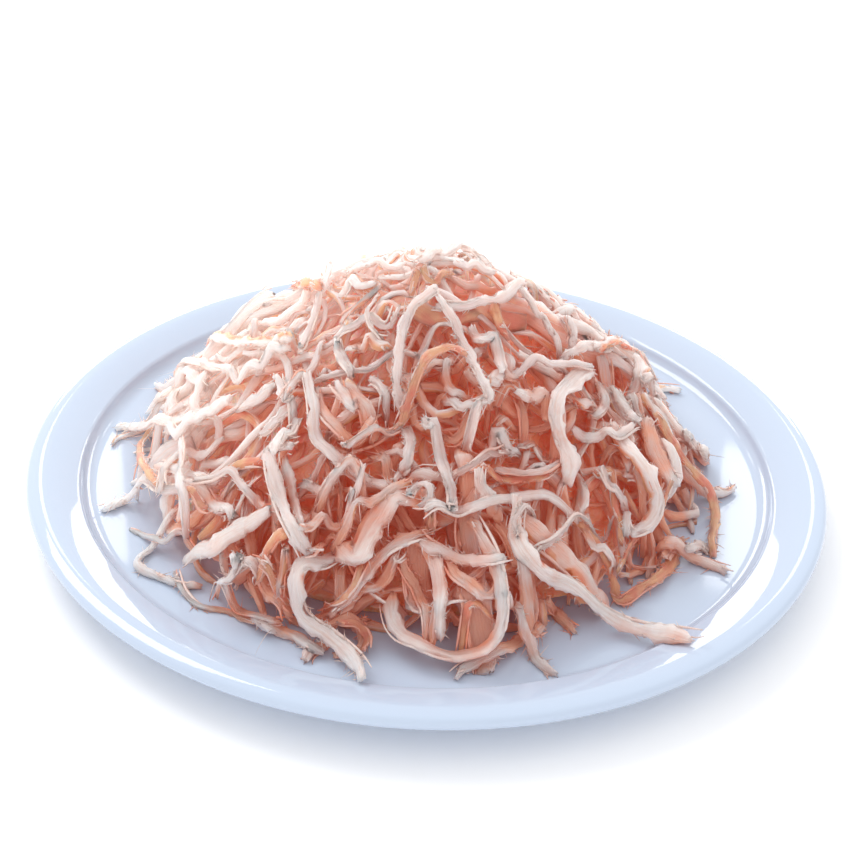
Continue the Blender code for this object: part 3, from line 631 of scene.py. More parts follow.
def core_flesh():
    """The tangle's depth, lit only through flesh: painted glow, peach behind, orange in front, rough."""
    heap = heap_settings()
    material, tree, shader = new_material("shaded flesh", Roughness=0.6, Subsurface_Weight=0.8,
                                          Subsurface_Scale=0.010, Emission_Strength=THROUGH)
    place = add(tree, "TexCoord", "Object", {})
    warmth = add(tree, "Attribute", "Fac", {}, attribute_name="warmth")
    # Lumps of 6 mm and shreds of 2 mm
    lumps = add(tree, "TexNoise", "Fac", {"Vector": place, "Scale": 160.0, "Detail": 1.0})
    shreds = add(tree, "TexNoise", "Fac", {"Vector": place, "Scale": 450.0, "Detail": 1.0, "Distortion": 1.5})
    # Painted glow behind and painted shade in front
    front = add(tree, "ValToRGB", "Color", {"Fac": warmth}, ((0.0, BLACK), (0.6, WHITE)))
    base = add(tree, "Mix", MIXED, {SHARE: front, FIRST: (*heap.pale_core, 1.0), SECOND: (*heap.core, 1.0)},
               **COLOURS)
    patches = add(tree, "ValToRGB", "Color", {"Fac": lumps}, ((0.38, (1.0, 0.72, 0.62)), (0.60, WHITE)))
    base = add(tree, "Mix", MIXED, {SHARE: 1.0, FIRST: base, SECOND: patches}, **TINT)
    streaks = add(tree, "ValToRGB", "Color", {"Fac": shreds}, ((0.40, (0.92, 0.78, 0.70)), (0.62, WHITE)))
    # Painted glow: the core emits its colour mixed with the through colour
    light = add(tree, "Mix", MIXED, {SHARE: 0.35, FIRST: base, SECOND: (*heap.through, 1.0)}, **COLOURS)
    feed(shader, Emission_Color=light,
         Base_Color=add(tree, "Mix", MIXED, {SHARE: 0.8, FIRST: base, SECOND: streaks}, **TINT),
         Normal=add(tree, "Bump", "Normal", {"Height": shreds, "Strength": 0.5, "Distance": 0.0015}))
    return material


# Plate


def arc(middle_radius, middle_height, radius, start, end, steps):
    """Points of an arc in the plate's section, angles in degrees from outwards."""
    angles = np.radians(np.linspace(start, end, steps + 1))
    return [(middle_radius + radius * math.cos(a), middle_height + radius * math.sin(a)) for a in angles]


def upper_profile():
    """The plate's upper side as radius and height, from the middle to the lip."""
    plate = plate_settings()
    cove = arc(plate.well_radius, plate.floor_top + COVE, COVE, -90, -WALL_LEAN, COVE_STEPS)
    lean = math.radians(WALL_LEAN)
    middle_radius = cove[-1][0] + SHOULDER * math.cos(lean)
    middle_height = cove[-1][1] - SHOULDER * math.sin(lean)
    shoulder = arc(middle_radius, middle_height, SHOULDER, 180 - WALL_LEAN, 90 + RIM_RISE, SHOULDER_STEPS)
    inner = shoulder[-1]
    rim = []
    for share in (0.25, 0.5, 0.75, 1.0):
        radius = inner[0] + share * (RIM_CREST_RADIUS - inner[0])
        height = inner[1] + share * (plate.rim_top - inner[1])
        rim.append((radius, height + 4 * RIM_CROWN * share * (1 - share)))
    lip = arc(plate.radius - LIP, plate.rim_top - LIP_DROP, LIP, LIP_TURN, -LIP_TURN, LIP_STEPS)
    return [(POLE, plate.floor_top)] + cove + shoulder[1:] + rim + lip


def lower_profile():
    """The plate's underside, from the lip back to the middle."""
    plate = plate_settings()
    foot = [(FOOT_OUTER, WELL_UNDERSIDE), (FOOT_OUTER - FOOT_EDGE, FOOT_EDGE),
            (FOOT_OUTER - 2 * FOOT_EDGE, 0.0), (FOOT_INNER + 2 * FOOT_EDGE, 0.0),
            (FOOT_INNER + FOOT_EDGE, FOOT_EDGE), (FOOT_INNER, WELL_UNDERSIDE)]
    rim = [(plate.radius - 3 * LIP, RIM_UNDERSIDE), (plate.well_radius + 2 * COVE, WALL_UNDERSIDE),
           (plate.well_radius + COVE / 2, WELL_UNDERSIDE + UNDERSIDE_STEP)]
    return rim + foot + [(POLE, WELL_UNDERSIDE)]


def turn_on_wheel(name, section, sides):
    """A round piece: a circle at the section's first point, extruded ring by ring along it."""
    deselect_all()
    bpy.ops.mesh.primitive_circle_add(vertices=sides, radius=section[0][0], location=(0, 0, section[0][1]))
    piece = bpy.context.object
    piece.name = piece.data.name = name
    bpy.ops.object.transform_apply(location=True, rotation=True, scale=True)
    bpy.ops.object.mode_set(mode="EDIT")
    bpy.ops.mesh.select_all(action="SELECT")
    for (radius, height), (next_radius, next_height) in zip(section, section[1:]):
        rise = (0, 0, next_height - height)
        bpy.ops.mesh.extrude_region_move(TRANSFORM_OT_translate={"value": rise})
        widen = next_radius / radius
        bpy.ops.transform.resize(value=(widen, widen, 1), center_override=(0, 0, next_height))
    bpy.ops.mesh.merge(type="CENTER")
    bpy.ops.mesh.select_all(action="DESELECT")
    bpy.ops.mesh.select_mode(type="EDGE")
    bpy.ops.mesh.select_non_manifold()
    bpy.ops.mesh.merge(type="CENTER")
    bpy.ops.mesh.select_all(action="SELECT")
    bpy.ops.mesh.normals_make_consistent(inside=False)
    bpy.ops.object.mode_set(mode="OBJECT")
    bpy.ops.object.shade_smooth_by_angle(angle=math.radians(SHARP))
    return piece


def plate_height(radius):
    """Height of the plate's upper side at a radius."""
    radii, heights = zip(*upper_profile()[:-LIP_STEPS])
    return np.interp(radius, radii, heights)


class MakePlate(bpy.types.Operator):
    """Turn the plate's section on a wheel and glaze it"""

    bl_idname = "squid.make_plate"
    bl_label = "Make plate"

    def execute(self, context):
        section = upper_profile() + lower_profile()
        plate = turn_on_wheel("glazed_plate", section, plate_settings().sides)
        dress(plate, glazed_porcelain(), "plate")
        return {"FINISHED"}


# Heap


def heap_form(x, y):
    """Height of the smooth heap above the plate's floor, zero outside it."""
    heap = heap_settings()
    reach = np.hypot((x - heap.middle_x) / heap.radius_x, (y - heap.middle_y) / heap.radius_y)
    return heap.height * np.clip(1.0 - reach ** heap.peak, 0.0, None) ** heap.flank


class MakeCore(bpy.types.Operator):
    """Shape a ball into the heap's craggy core"""

    bl_idname = "squid.make_core"
    bl_label = "Make core"

    def execute(self, context):
        heap = heap_settings()
        floor = plate_settings().floor_top
        deselect_all()
        bpy.ops.mesh.primitive_ico_sphere_add(subdivisions=6, radius=1.0)
        core = bpy.context.object
        core.name = core.data.name = "heap_core"
        bpy.ops.object.mode_set(mode="EDIT")
        bpy.ops.mesh.select_all(action="SELECT")
        bpy.ops.mesh.bisect(plane_co=(0, 0, 0), plane_no=(0, 0, 1), clear_inner=True, use_fill=True)
        bpy.ops.object.mode_set(mode="OBJECT")
        for vert in core.data.vertices:
            crag = noise.fractal(vert.co / CRAG_PITCH, 0.8, 2.0, 4) * min(vert.co.z / CALM_FOOT, 1.0)
            swell = 1.0 + CRAG * crag
            x = heap.middle_x + heap.radius_x * vert.co.x
            y = heap.middle_y + heap.radius_y * vert.co.y
            height = CORE_HEIGHT_SHARE * swell * heap_form(x, y) if vert.co.z > 0.001 else 0.0
            vert.co = (heap.middle_x + CORE_SHARE * swell * (x - heap.middle_x),
                       heap.middle_y + CORE_SHARE * swell * (y - heap.middle_y),
                       floor + GAP + float(height))
        points = np.array([vert.co for vert in core.data.vertices])
        # Painted shade and glow on the core follow how far to the front it is
        core.data.attributes.new("warmth", "FLOAT", "POINT").data.foreach_set("value", frontness(points))
        bpy.ops.object.shade_smooth()
        dress(core, core_flesh(), "squid_heap")
        return {"FINISHED"}


def first_map():
    """Heights of the plate and the core on a square grid, rows along Y."""
    form = bmesh.new()
    form.from_mesh(bpy.data.objects["heap_core"].data)
    tree = BVHTree.FromBMesh(form)
    form.free()
    line = np.arange(-MAP_HALF, MAP_HALF + CELL / 2, CELL)
    x, y = np.meshgrid(line, line)
    heights = plate_height(np.hypot(x, y)) + GAP
    above = 2 * heap_settings().height
    for row, column in np.argwhere(heap_form(x, y) > 0.0):
        hit = tree.ray_cast(Vector((x[row, column], y[row, column], above)), Vector((0, 0, -1)))[0]
        if hit:
            heights[row, column] = max(heights[row, column], hit.z)
    return heights


def cells(points):
    """Row and column of the map under plan points."""
    index = np.rint((points + MAP_HALF) / CELL).astype(int)
    index = np.clip(index, 0, int(round(2 * MAP_HALF / CELL)))
    return index[..., 1], index[..., 0]


def route(shred):
    """A drawn shred's way in plan, one point for each station."""
    share = (np.arange(STATIONS - 1) + 0.5) / (STATIONS - 1)
    waves = shred["wave"] * np.sin(math.tau * (WAVES * share + shred["wave"] / WAVE_SHIFT))
    heading = np.radians(shred["heading"] + shred["bend"] * share
                         + shred["curl"] * np.sin(math.tau * share) + waves)
    step = shred["length"] / (STATIONS - 1)
    steps = np.stack([np.cos(heading), np.sin(heading)], axis=1) * step
    start = np.array([[shred["x"], shred["y"]]])
    return np.concatenate([start, start + np.cumsum(steps, axis=0)])


def sideways(plan):
    """Unit vectors to a route's left."""
    along = unit(np.gradient(plan, axis=0))
    return np.stack([-along[:, 1], along[:, 0]], axis=1)


def bridged(support, passes):
    """Heights of a stiff strip that lies on the support and spans its dips."""
    height = support.copy()
    for _ in range(passes):
        ahead = np.append(height[1:], 2 * height[-1] - height[-2])
        behind = np.insert(height[:-1], 0, 2 * height[0] - height[1])
        height = np.maximum(support, (behind + 2 * height + ahead) / 4)
    return height


def leaning(shred, plan):
    """A shred's lean at each station: its own, and with the slope of the smooth heap."""
    reach = sideways(plan) * shred["width"] * BANK_REACH / 2
    left, right = plan + reach, plan - reach
    rise = heap_form(left[:, 0], left[:, 1]) - heap_form(right[:, 0], right[:, 1])
    slope = np.arctan2(rise, shred["width"] * BANK_REACH)
    return np.radians(shred["lean"] + shred["twist"] * np.linspace(0.0, 1.0, STATIONS)) + BANK * slope


def outline(shred, plan, lean):
    """Points round a leaning strip's section, in plan, and their heights above its middle."""
    across = np.tile(np.linspace(-0.5, 0.5, TOUCHES) * shred["width"], 2)
    deep = np.repeat([0.5, -0.5], TOUCHES) * shred["thick"]
    aside = np.outer(np.cos(lean), across) - np.outer(np.sin(lean), deep)
    above = np.outer(np.sin(lean), across) + np.outer(np.cos(lean), deep)
    return plan[:, None, :] + sideways(plan)[:, None, :] * aside[..., None], above


def settle(shred, heights):
    """Middle line of a shred laid on the map, and its lean at each station."""
    plan = shred["way"] if "way" in shred else route(shred)
    lean = leaning(shred, plan)
    points, above = outline(shred, plan, lean)
    support = bridged((heights[cells(points)] - above).max(axis=1), shred["stiff"])
    share = np.linspace(0.0, 1.0, STATIONS)
    raised = shred["arch"] * np.sin(math.pi * share) ** 2
    raised += shred["rise"] * np.clip(1.0 - share / LIFTED, 0.0, 1.0) ** 2
    raised += shred["fall"] * np.clip((share - (1 - LIFTED)) / LIFTED, 0.0, 1.0) ** 2
    return ease(np.column_stack([plan, support + raised - SINK]), EASE), lean


def press(shred, line, lean, heights):
    """Raise the map to a laid shred's top."""
    points, above = outline(shred, line[:, :2], lean)
    np.maximum.at(heights, cells(points), line[:, 2:] + above)


def heap_point(reach, turn):
    """Plan point of the heap at a share of its radii and an angle in degrees."""
    heap = heap_settings()
    angle = math.radians(turn)
    return (heap.middle_x + reach * heap.radius_x * math.cos(angle),
            heap.middle_y + reach * heap.radius_y * math.sin(angle))


def sometimes(draw, most):
    """Nothing, or just as often a length up to the most."""
    return draw.choice((0.0, draw.uniform(0, most)))


def drawn_form(draw):
    """What every drawn shred draws alike."""
    kind = draw.choices(KINDS, KIND_SHARES)[0]
    film = draw.random() < FILM_SHARE
    width = draw.uniform(*FILM_WIDTH) if film else draw.triangular(*WIDTH)
    return {
        "curl": draw.uniform(-CURL, CURL), "wave": draw.uniform(-WAVE, WAVE), "arch": sometimes(draw, ARCH),
        "width": width,
        "thick": FILM_THICKNESS if film else min(width * draw.uniform(*FLATNESS), THICKEST_DRAWN),
        "lean": draw.uniform(-LEAN, LEAN), "twist": draw.uniform(-TWIST, TWIST),
        "rise": sometimes(draw, LIFT), "fall": sometimes(draw, LIFT),
        "kind": kind, "stiff": draw.randint(*STIFFNESS),
    }


def drawn_cover(draw):
    """A shred whose middle is somewhere over the heap."""
    x, y = heap_point(math.sqrt(draw.uniform(0.0, COVER_SPREAD)), draw.uniform(0, 360))
    heading, bend = draw.uniform(0, 360), draw.choice((-1, 1)) * draw.triangular(*COVER_BEND)
    length = draw.uniform(*COVER_LENGTH)
    early = math.radians(heading + bend / 4)
    x -= COVER_START * length * math.cos(early)
    y -= COVER_START * length * math.sin(early)
    return {"x": x, "y": y, "heading": heading, "bend": bend, "length": length, **drawn_form(draw)}


def drawn_stray(draw, turn):
    """A shred that starts on the heap's flank and runs out over the plate."""
    x, y = heap_point(draw.uniform(*STRAY_START), turn)
    heading, bend = turn + draw.uniform(-STRAY_TURN, STRAY_TURN), draw.uniform(-STRAY_BEND, STRAY_BEND)
    length = draw.uniform(*STRAY_LENGTH)
    return {"x": x, "y": y, "heading": heading, "bend": bend, "length": length, **drawn_form(draw),
            "rise": 0.0, "fall": 0.0, "arch": 0.0}


def room(shred, heights):
    """How far a shred's way lies below the smooth heap on average, or None where it won't fit."""
    line = settle(shred, heights)[0]
    smooth = heap_form(line[:, 0], line[:, 1])
    below = plate_settings().floor_top + smooth - line[:, 2]
    return None if smooth.min() == 0.0 or below.min() < ROOM_LEFT else float(below.mean())


def covers(heights, draw):
    """Shreds over the heap, each the one of a few tries that finds the most room."""
    for _ in range(heap_settings().covers):
        tries = [drawn_cover(draw) for _ in range(COVER_TRIES)]
        rooms = [room(shred, heights) for shred in tries]
        fitting = [(space, index) for index, space in enumerate(rooms) if space is not None]
        if fitting:
            yield tries[max(fitting)[1]]


def strays(draw):
    """Shreds round the foot, shortened where they would climb the plate's wall."""
    count = heap_settings().strays
    for index in range(count):
        shred = drawn_stray(draw, (index + draw.uniform(-STRAY_SPACING, STRAY_SPACING)) * 360 / count)
        while np.linalg.norm(route(shred), axis=1).max() > STRAY_LIMIT:
            shred["length"] *= SHORTER
        yield shred


def eased_way(pairs):
    """Evenly spaced stations along a traced way, with its corners rounded."""
    points = np.array(pairs, float).reshape(-1, 2)
    along = np.append(0, np.cumsum(np.linalg.norm(np.diff(points, axis=0), axis=1)))
    return ease(between(points, along, np.linspace(0, along[-1], STATIONS)), CORNER_EASE)


def sights(pixels):
    """Unit ways of the camera's rays through points of the picture."""
    turned = np.array(looking(*map(math.radians, CAMERA_ANGLES)).to_3x3())
    depth = np.full(len(pixels), -CAMERA_LENS / SENSOR * FRAME)
    return unit(np.column_stack([pixels[:, 0] - FRAME / 2, FRAME / 2 - pixels[:, 1], depth]) @ turned.T)


def meeting(aims, heights):
    """How far along each ray it meets the heap, without a leap from one ray to the next."""
    places = CAMERA_PLACE + aims[:, None, :] * SIGHT[None, :, None]
    reach = SIGHT[(places[..., 2] <= heights[cells(places[..., :2])] + MET).argmax(axis=1)]
    leap = STEEPEST * np.linalg.norm(np.diff(aims, axis=0), axis=1) * reach.mean()
    nearest = int(reach.argmin())
    for here in range(nearest + 1, len(reach)):
        reach[here] = np.clip(reach[here], reach[here - 1] - leap[here - 1], reach[here - 1] + leap[here - 1])
    for here in range(nearest - 1, -1, -1):
        reach[here] = np.clip(reach[here], reach[here + 1] - leap[here], reach[here + 1] + leap[here])
    return reach


def shown_shreds(heights, draw):
    """The traced shreds, each where the camera sees it and lying on what is below it there."""
    for kind, tone, width, rise, fall, arch, pairs in TRACED:
        aims = sights(eased_way(pairs))
        first = reach = meeting(aims, evened(heights))
        shred = {"kind": kind, "tone": tone, "width": width * MM, "rise": rise * MM, "fall": fall * MM,
                 "arch": arch * MM, "stiff": SHOWN_STIFFNESS,
                 "thick": min(SHOWN_THICKNESS * width * MM, THICKEST),
                 "lean": draw.uniform(-SHOWN_LEAN, SHOWN_LEAN),
                 "twist": draw.uniform(-SHOWN_TWIST, SHOWN_TWIST)}
        for _ in range(FITS):
            shred["way"] = (CAMERA_PLACE + aims * reach[:, None])[:, :2]
            line = settle(shred, heights)[0]
            fit = (line[:, 2] - CAMERA_PLACE[2]) / aims[:, 2]
            reach = ease(np.clip((reach + fit) / 2, first - FIT_NEAR, first + FIT_FAR), EASE)
        shred["length"] = float(np.linalg.norm(np.diff(line, axis=0), axis=1).sum())
        yield shred


def lay_shreds():
    """Every shred laid on what is below it, with its middle line and lean, and the heap's map."""
    heights = first_map()
    draw = random.Random(heap_settings().seed)
    laid = []
    for source in (covers(heights, draw), strays(draw), shown_shreds(heights, draw)):
        for shred in source:
            line, lean = settle(shred, heights)
            press(shred, line, lean, heights)
            laid.append((shred, line, lean))
    return laid, heights


# Surfaces of the shreds, strands and hairs


def smooth_noise(generator, count, pitch):
    """Noise of unit size along a line, with a new value every few points."""
    knots = generator.normal(size=max(4, int(count / pitch) + 3))
    return np.interp(np.linspace(0, len(knots) - 1, count), np.arange(len(knots)), knots)


def shred_axes(line, lean, rings):
    """Middle points of a laid shred's rings, and the ways along, across and through it at each."""
    share = np.linspace(0, 1, rings)
    at = np.linspace(0, 1, STATIONS)
    middle = between(line, at, share)
    angle = np.interp(share, at, lean)[:, None]
    along = unit(np.gradient(middle, axis=0))
    side = ease(np.column_stack([sideways(middle[:, :2]), np.zeros(rings)]), SIDE_EASE)
    side = unit(side - (side * along).sum(axis=1)[:, None] * along)
    flat = side * np.cos(angle) + np.cross(along, side) * np.sin(angle)
    return middle, along, flat, np.cross(along, flat)


def torn_section(shred, distance, generator, around):
    """Where each ring's points are across and through a shred, and their turn round its section.

    The section is a rounded rectangle, uneven along the shred and narrowed at its torn ends.
    """
    rings = len(distance)
    from_end = np.minimum(distance, shred["length"] - distance)
    narrowed = np.clip(from_end / (TAPER * generator.uniform(0.5, 1.5)), 0, 1) ** 0.7
    narrowed = END_SHARE + (1 - END_SHARE) * narrowed
    wide = narrowed * (1 + UNEVEN_WIDTH * smooth_noise(generator, rings, 4))
    thick = narrowed * (1 + UNEVEN_THICKNESS * smooth_noise(generator, rings, 5))
    across = np.linspace(1, -1, around // 2 + 1)
    up = (1 - np.abs(across) ** SQUARE) ** (1 / SQUARE)
    across, up = np.append(across, across[-2:0:-1]), np.append(up, -up[-2:0:-1])
    # Bundles of fibres side by side, with furrows between them that wander
    bundles = np.clip(round(shred["width"] / BUNDLE), *BUNDLES)
    drift = generator.uniform(0, 1) + np.cumsum(generator.normal(0, 0.05, rings))
    swell = np.abs(np.sin(math.pi * (bundles * (across + 1) / 2 + drift[:, None]))) ** 0.7
    half_wide = 0.5 * np.clip(wide, *WIDE_RANGE)[:, None] * shred["width"]
    bundled = FULLNESS - FURROW + FURROW * swell
    half_thick = 0.5 * np.clip(thick, *THICK_RANGE)[:, None] * shred["thick"] * bundled
    torn = generator.normal(0, RAGGED, (rings, around)) * np.abs(across) ** 4
    for hand in (-1, 1):
        uneven = NICKS * smooth_noise(generator, rings, 2) + BAYS * smooth_noise(generator, rings, 5)
        torn += (np.sign(across) == hand) * across ** 2 * uneven[:, None] * shred["width"]
    cup = generator.uniform(-CUP, CUP) * shred["thick"] * (across ** 2 - 0.5)
    return across * half_wide + np.sign(across) * torn, up * half_thick + cup, np.arctan2(up, across)


def skin_amount(shred, turn, rings, generator):
    """How much skin each ring's points have: on one side of the shred, frayed along its border."""
    toward = SKIN_SIDE[shred["kind"]]
    turned = generator.uniform(-0.5, 0.5) + (math.pi if generator.random() < 0.5 else 0)
    # A traced skin side faces up, and any other shred may lie either way up
    if shred["kind"] != SKIN or "way" not in shred:
        toward += turned
    frayed = SKIN_REACH[shred["kind"]] + FRAY * smooth_noise(generator, rings, 3)[:, None]
    return np.clip(np.cos(turn - toward)[None, :] + frayed + 0.4, 0, 1)


def shred_points(shred, line, lean, generator, step, around):
    """Rings of points round a laid shred, with their skin and grain values."""
    rings = max(FEWEST_RINGS, int(shred["length"] / step))
    distance = np.linspace(0, 1, rings) * shred["length"]
    middle, along, flat, deep = shred_axes(line, lean, rings)
    aside, above, turn = torn_section(shred, distance, generator, around)
    points = middle[:, None, :] + flat[:, None, :] * aside[..., None] + deep[:, None, :] * above[..., None]
    for end, outward in ((0, -along[0]), (-1, along[-1])):
        points[end] += outward * np.abs(generator.normal(0, END_RAGGED, (around, 1)))
    skin = skin_amount(shred, turn, rings, generator)
    grain = np.stack(np.broadcast_arrays(aside, above, distance[:, None]), axis=-1) / MM
    return points, skin, grain + generator.uniform(0, GRAIN_SHIFT, 3)


def tube_rings(middle, radius, around):
    """Round rings about a middle line, with a radius for each point."""
    ahead = unit(np.gradient(middle, axis=0))
    first = unit(np.cross(ahead, ODD_WAY))
    second = np.cross(ahead, first)
    turn = np.linspace(0, math.tau, around, endpoint=False)[None, :, None]
    spokes = first[:, None, :] * np.cos(turn) + second[:, None, :] * np.sin(turn)
    return middle[:, None, :] + np.asarray(radius)[:, None, None] * spokes


def side_strand(shred, line, lean, generator):
    """Middle line and radius of a strand that follows a shred's edge and peels off at one end."""
    start, stop = sorted(generator.uniform(0, 1, 2))
    start, stop = (start, 1.0) if generator.random() < 0.5 else (stop, 0.0)
    stop += generator.uniform(PEEL_SHORT, PEEL_LONG) * (1 if stop else -1)
    count = max(5, int(abs(stop - start) * shred["length"] / STRAND_STEP))
    share = np.linspace(start, stop, count)
    at = np.linspace(0, 1, STATIONS)
    # Past the shred's own end it goes straight on
    beyond = (share - np.clip(share, 0, 1)) * shred["length"]
    way = line[-1] - line[-3] if stop > 0.5 else line[2] - line[0]
    middle = between(line, at, share) + unit(way) * beyond[:, None]
    side = np.column_stack([sideways(middle[:, :2]), np.zeros(count)]) * (1 if stop > start else -1)
    angle = np.interp(share, at, lean)[:, None]
    hand = generator.choice((-1, 1))
    flat = (side * np.cos(angle) + UPWARD * np.sin(angle)) * hand
    along = np.linspace(0, 1, count)[:, None]
    place = (STRAND_PLACE + STRAND_SPREAD * generator.random()) * shred["width"]
    away = place + generator.uniform(*PEEL) * along ** 3
    middle += flat * away + UPWARD * generator.uniform(*PEEL_RISE) * along ** 3
    radius = generator.uniform(*SIDE_RADIUS) * np.sin(math.pi * (0.06 + 0.90 * along[:, 0])) ** 0.5
    return middle, radius


def end_strand(line, shred, generator):
    """Middle line and radius of a fibre bundle that sticks out of a torn end."""
    at_start = generator.random() < 0.5
    tip, inner = (line[0], line[3]) if at_start else (line[-1], line[-4])
    ahead = unit(tip - inner)
    aim = ahead + generator.normal(0, END_AIM, 3)
    root = tip - ahead * generator.uniform(*END_ROOT) + generator.normal(0, END_PLACE, 3) * shred["width"]
    length = generator.uniform(*END_LENGTH)
    share = np.linspace(0, 1, 4)[:, None]
    bow = generator.normal(0, END_BOW, 3)
    middle = root + aim * length * share + bow * length * share ** 2 * 0.5
    radius = generator.uniform(*END_RADIUS) * (1.1 - share[:, 0]) ** 0.3
    return middle, radius


def strands_of(shred, line, lean, generator):
    """All strands of one shred."""
    peeled = [side_strand(shred, line, lean, generator) for _ in range(SIDE_STRANDS)]
    return peeled + [end_strand(line, shred, generator) for _ in range(END_STRANDS)]


def clear_of_plate(points):
    """Rings lifted as far as each needs to stay above the plate."""
    bare = plate_height(np.linalg.norm(points[..., :2], axis=-1)) + GAP
    lift = np.clip((bare - points[..., 2]).max(axis=1), 0, None)
    points[..., 2] += lift[:, None]
    return points


def ring_faces(first, rings, around):
    """Faces of a closed tube of rings, with a fan to a point at each end."""
    faces = []
    for ring in range(rings - 1):
        base = first + ring * around
        for place in range(around):
            following = (place + 1) % around
            faces.append((base + place, base + following, base + around + following, base + around + place))
    start, finish = first + rings * around, first + rings * around + 1
    last = first + (rings - 1) * around
    for place in range(around):
        following = (place + 1) % around
        faces.append((start, first + following, first + place))
        faces.append((finish, last + place, last + following))
    return faces


def tubes_piece(name, tubes):
    """One mesh of many closed tubes, each with points, skin, grain and painted shade and glow."""
    points, skin, grain, warmth, faces = [], [], [], [], []
    first = 0
    for rings, skins, grains, warm in tubes:
        count, around = rings.shape[:2]
        faces += ring_faces(first, count, around)
        first += count * around + 2
        points += [rings.reshape(-1, 3), rings[[0, -1]].mean(axis=1)]
        grain += [grains.reshape(-1, 3), grains[[0, -1]].mean(axis=1)]
        skin += [skins.ravel(), skins[[0, -1]].mean(axis=1)]
        warmth += [warm.ravel(), warm[[0, -1]].mean(axis=1)]
    points = np.concatenate(points)
    mesh = bpy.data.meshes.new(name)
    mesh.from_pydata(points.tolist(), [], faces)
    # How far to the front, which sets the painted shade in front and the painted light behind
    front = (1 + frontness(points)) / 2
    skin, warmth = np.concatenate(skin), np.concatenate(warmth)
    for label, values in (("skin", skin), ("warmth", warmth), ("front", front)):
        mesh.attributes.new(label, "FLOAT", "POINT").data.foreach_set("value", values)
    grains = mesh.attributes.new("grain", "FLOAT_VECTOR", "POINT")
    grains.data.foreach_set("vector", np.concatenate(grain).ravel())
    mesh.shade_smooth()
    piece = bpy.data.objects.new(name, mesh)
    bpy.context.scene.collection.objects.link(piece)
    return piece


def evened(heights):
    """The map of heights, each the mean of the square of cells round it."""
    total = np.zeros_like(heights)
    for shift_x in range(-BLUR, BLUR + 1):
        for shift_y in range(-BLUR, BLUR + 1):
            total += np.roll(heights, (shift_x, shift_y), axis=(0, 1))
    return total / (2 * BLUR + 1) ** 2


def frontness(points):
    """From -1 at the heap's back left, where the light comes from, to 1 at its front right."""
    front = FRONT_SIDEWAYS * np.minimum(points[..., 0], FRONT_RIGHT) - points[..., 1] + FRONT_START
    return np.clip(front / FRONT_REACH, -1, 1)


def shade_glow_at(points, top, tone):
    """Painted shade and glow: warmer the deeper under the heap's top, warmer in front, whiter behind."""
    deep = (top[cells(points[..., :2])] - points[..., 2]) / GLOW_DEPTH
    front = frontness(points)
    return np.clip((deep + tone) * (1 + BACK_GLOW * np.minimum(front, 0)) + FRONT_WARMTH * front, 0, 1)


made = {}                 # shreds with their lines and leans, and the heap's top, for the fibres' operator


class MakeShreds(bpy.types.Operator):
    """Lay all shreds on the core and the plate, one piece for each kind"""

    bl_idname = "squid.make_shreds"
    bl_label = "Make shreds"

    def execute(self, context):
        laid, heights = lay_shreds()
        made["laid"], made["top"] = laid, evened(heights)
        generator = np.random.default_rng(heap_settings().seed)
        tubes = {kind: [] for kind in FINISHES}
        for order, (shred, line, lean) in enumerate(laid):
            buried = order < BURIED_SHARE * len(laid)
            step, around = (BURIED_STEP, BURIED_ROUND) if buried else (RING_STEP, ROUND)
            points, skin, grain = shred_points(shred, line, lean, generator, step, around)
            points = clear_of_plate(points)
            tone = shred["tone"] = shred.get("tone", 0.0) + generator.normal(0.0, TONE_SPREAD)
            # Painted shade and glow by depth, place and tone
            tubes[shred["kind"]].append((points, skin, grain, shade_glow_at(points, made["top"], tone)))
            strands = [] if buried else strands_of(shred, line, lean, generator)
            for middle, radius in strands:
                points = clear_of_plate(tube_rings(middle, radius, STRAND_ROUND))
                skin = np.full(points.shape[:2], generator.uniform(0, 0.6) if shred["kind"] != FLESH else 0.0)
                # Strands get a paler painted shade and glow than their shred
                warmth = shade_glow_at(points, made["top"], tone - PALER)
                tubes[STRANDS].append((points, skin, points / MM, warmth))
        for kind, finish in FINISHES.items():
            piece = tubes_piece("shreds_" + kind, tubes[kind])
            dress(piece, dried_flesh(*finish), "squid_heap")
        return {"FINISHED"}


def hair(shred, line, lean, generator, length, rings):
    """Middle line of a hair that leaves a shred near its edge, and each point's share of the way."""
    place = generator.uniform(1, STATIONS - 2)
    station = int(place)
    along = unit(line[station + 1] - line[station - 1])
    side = np.append(sideways(line[station - 1:station + 2, :2])[1], 0)
    flat = side * math.cos(lean[station]) + np.cross(along, side) * math.sin(lean[station])
    hand = 1 if generator.random() < 0.5 else -1
    start = line[station] + (place - station) * (line[station + 1] - line[station])
    start = start + flat * hand * shred["width"] * generator.uniform(*HAIR_ROOT)
    start[2] += shred["thick"] * generator.uniform(*HAIR_HEIGHT)
    aim = along * generator.choice((-1, 1)) + flat * hand * generator.uniform(*HAIR_OUT)
    aim = unit(aim + generator.normal(0, HAIR_SPREAD, 3) + UPWARD * HAIR_UP)
    bow = generator.normal(0, HAIR_BOW, 3)
    share = np.linspace(0, 1, rings)[:, None]
    return start + (aim * share + bow * share ** 2) * length, share[:, 0]


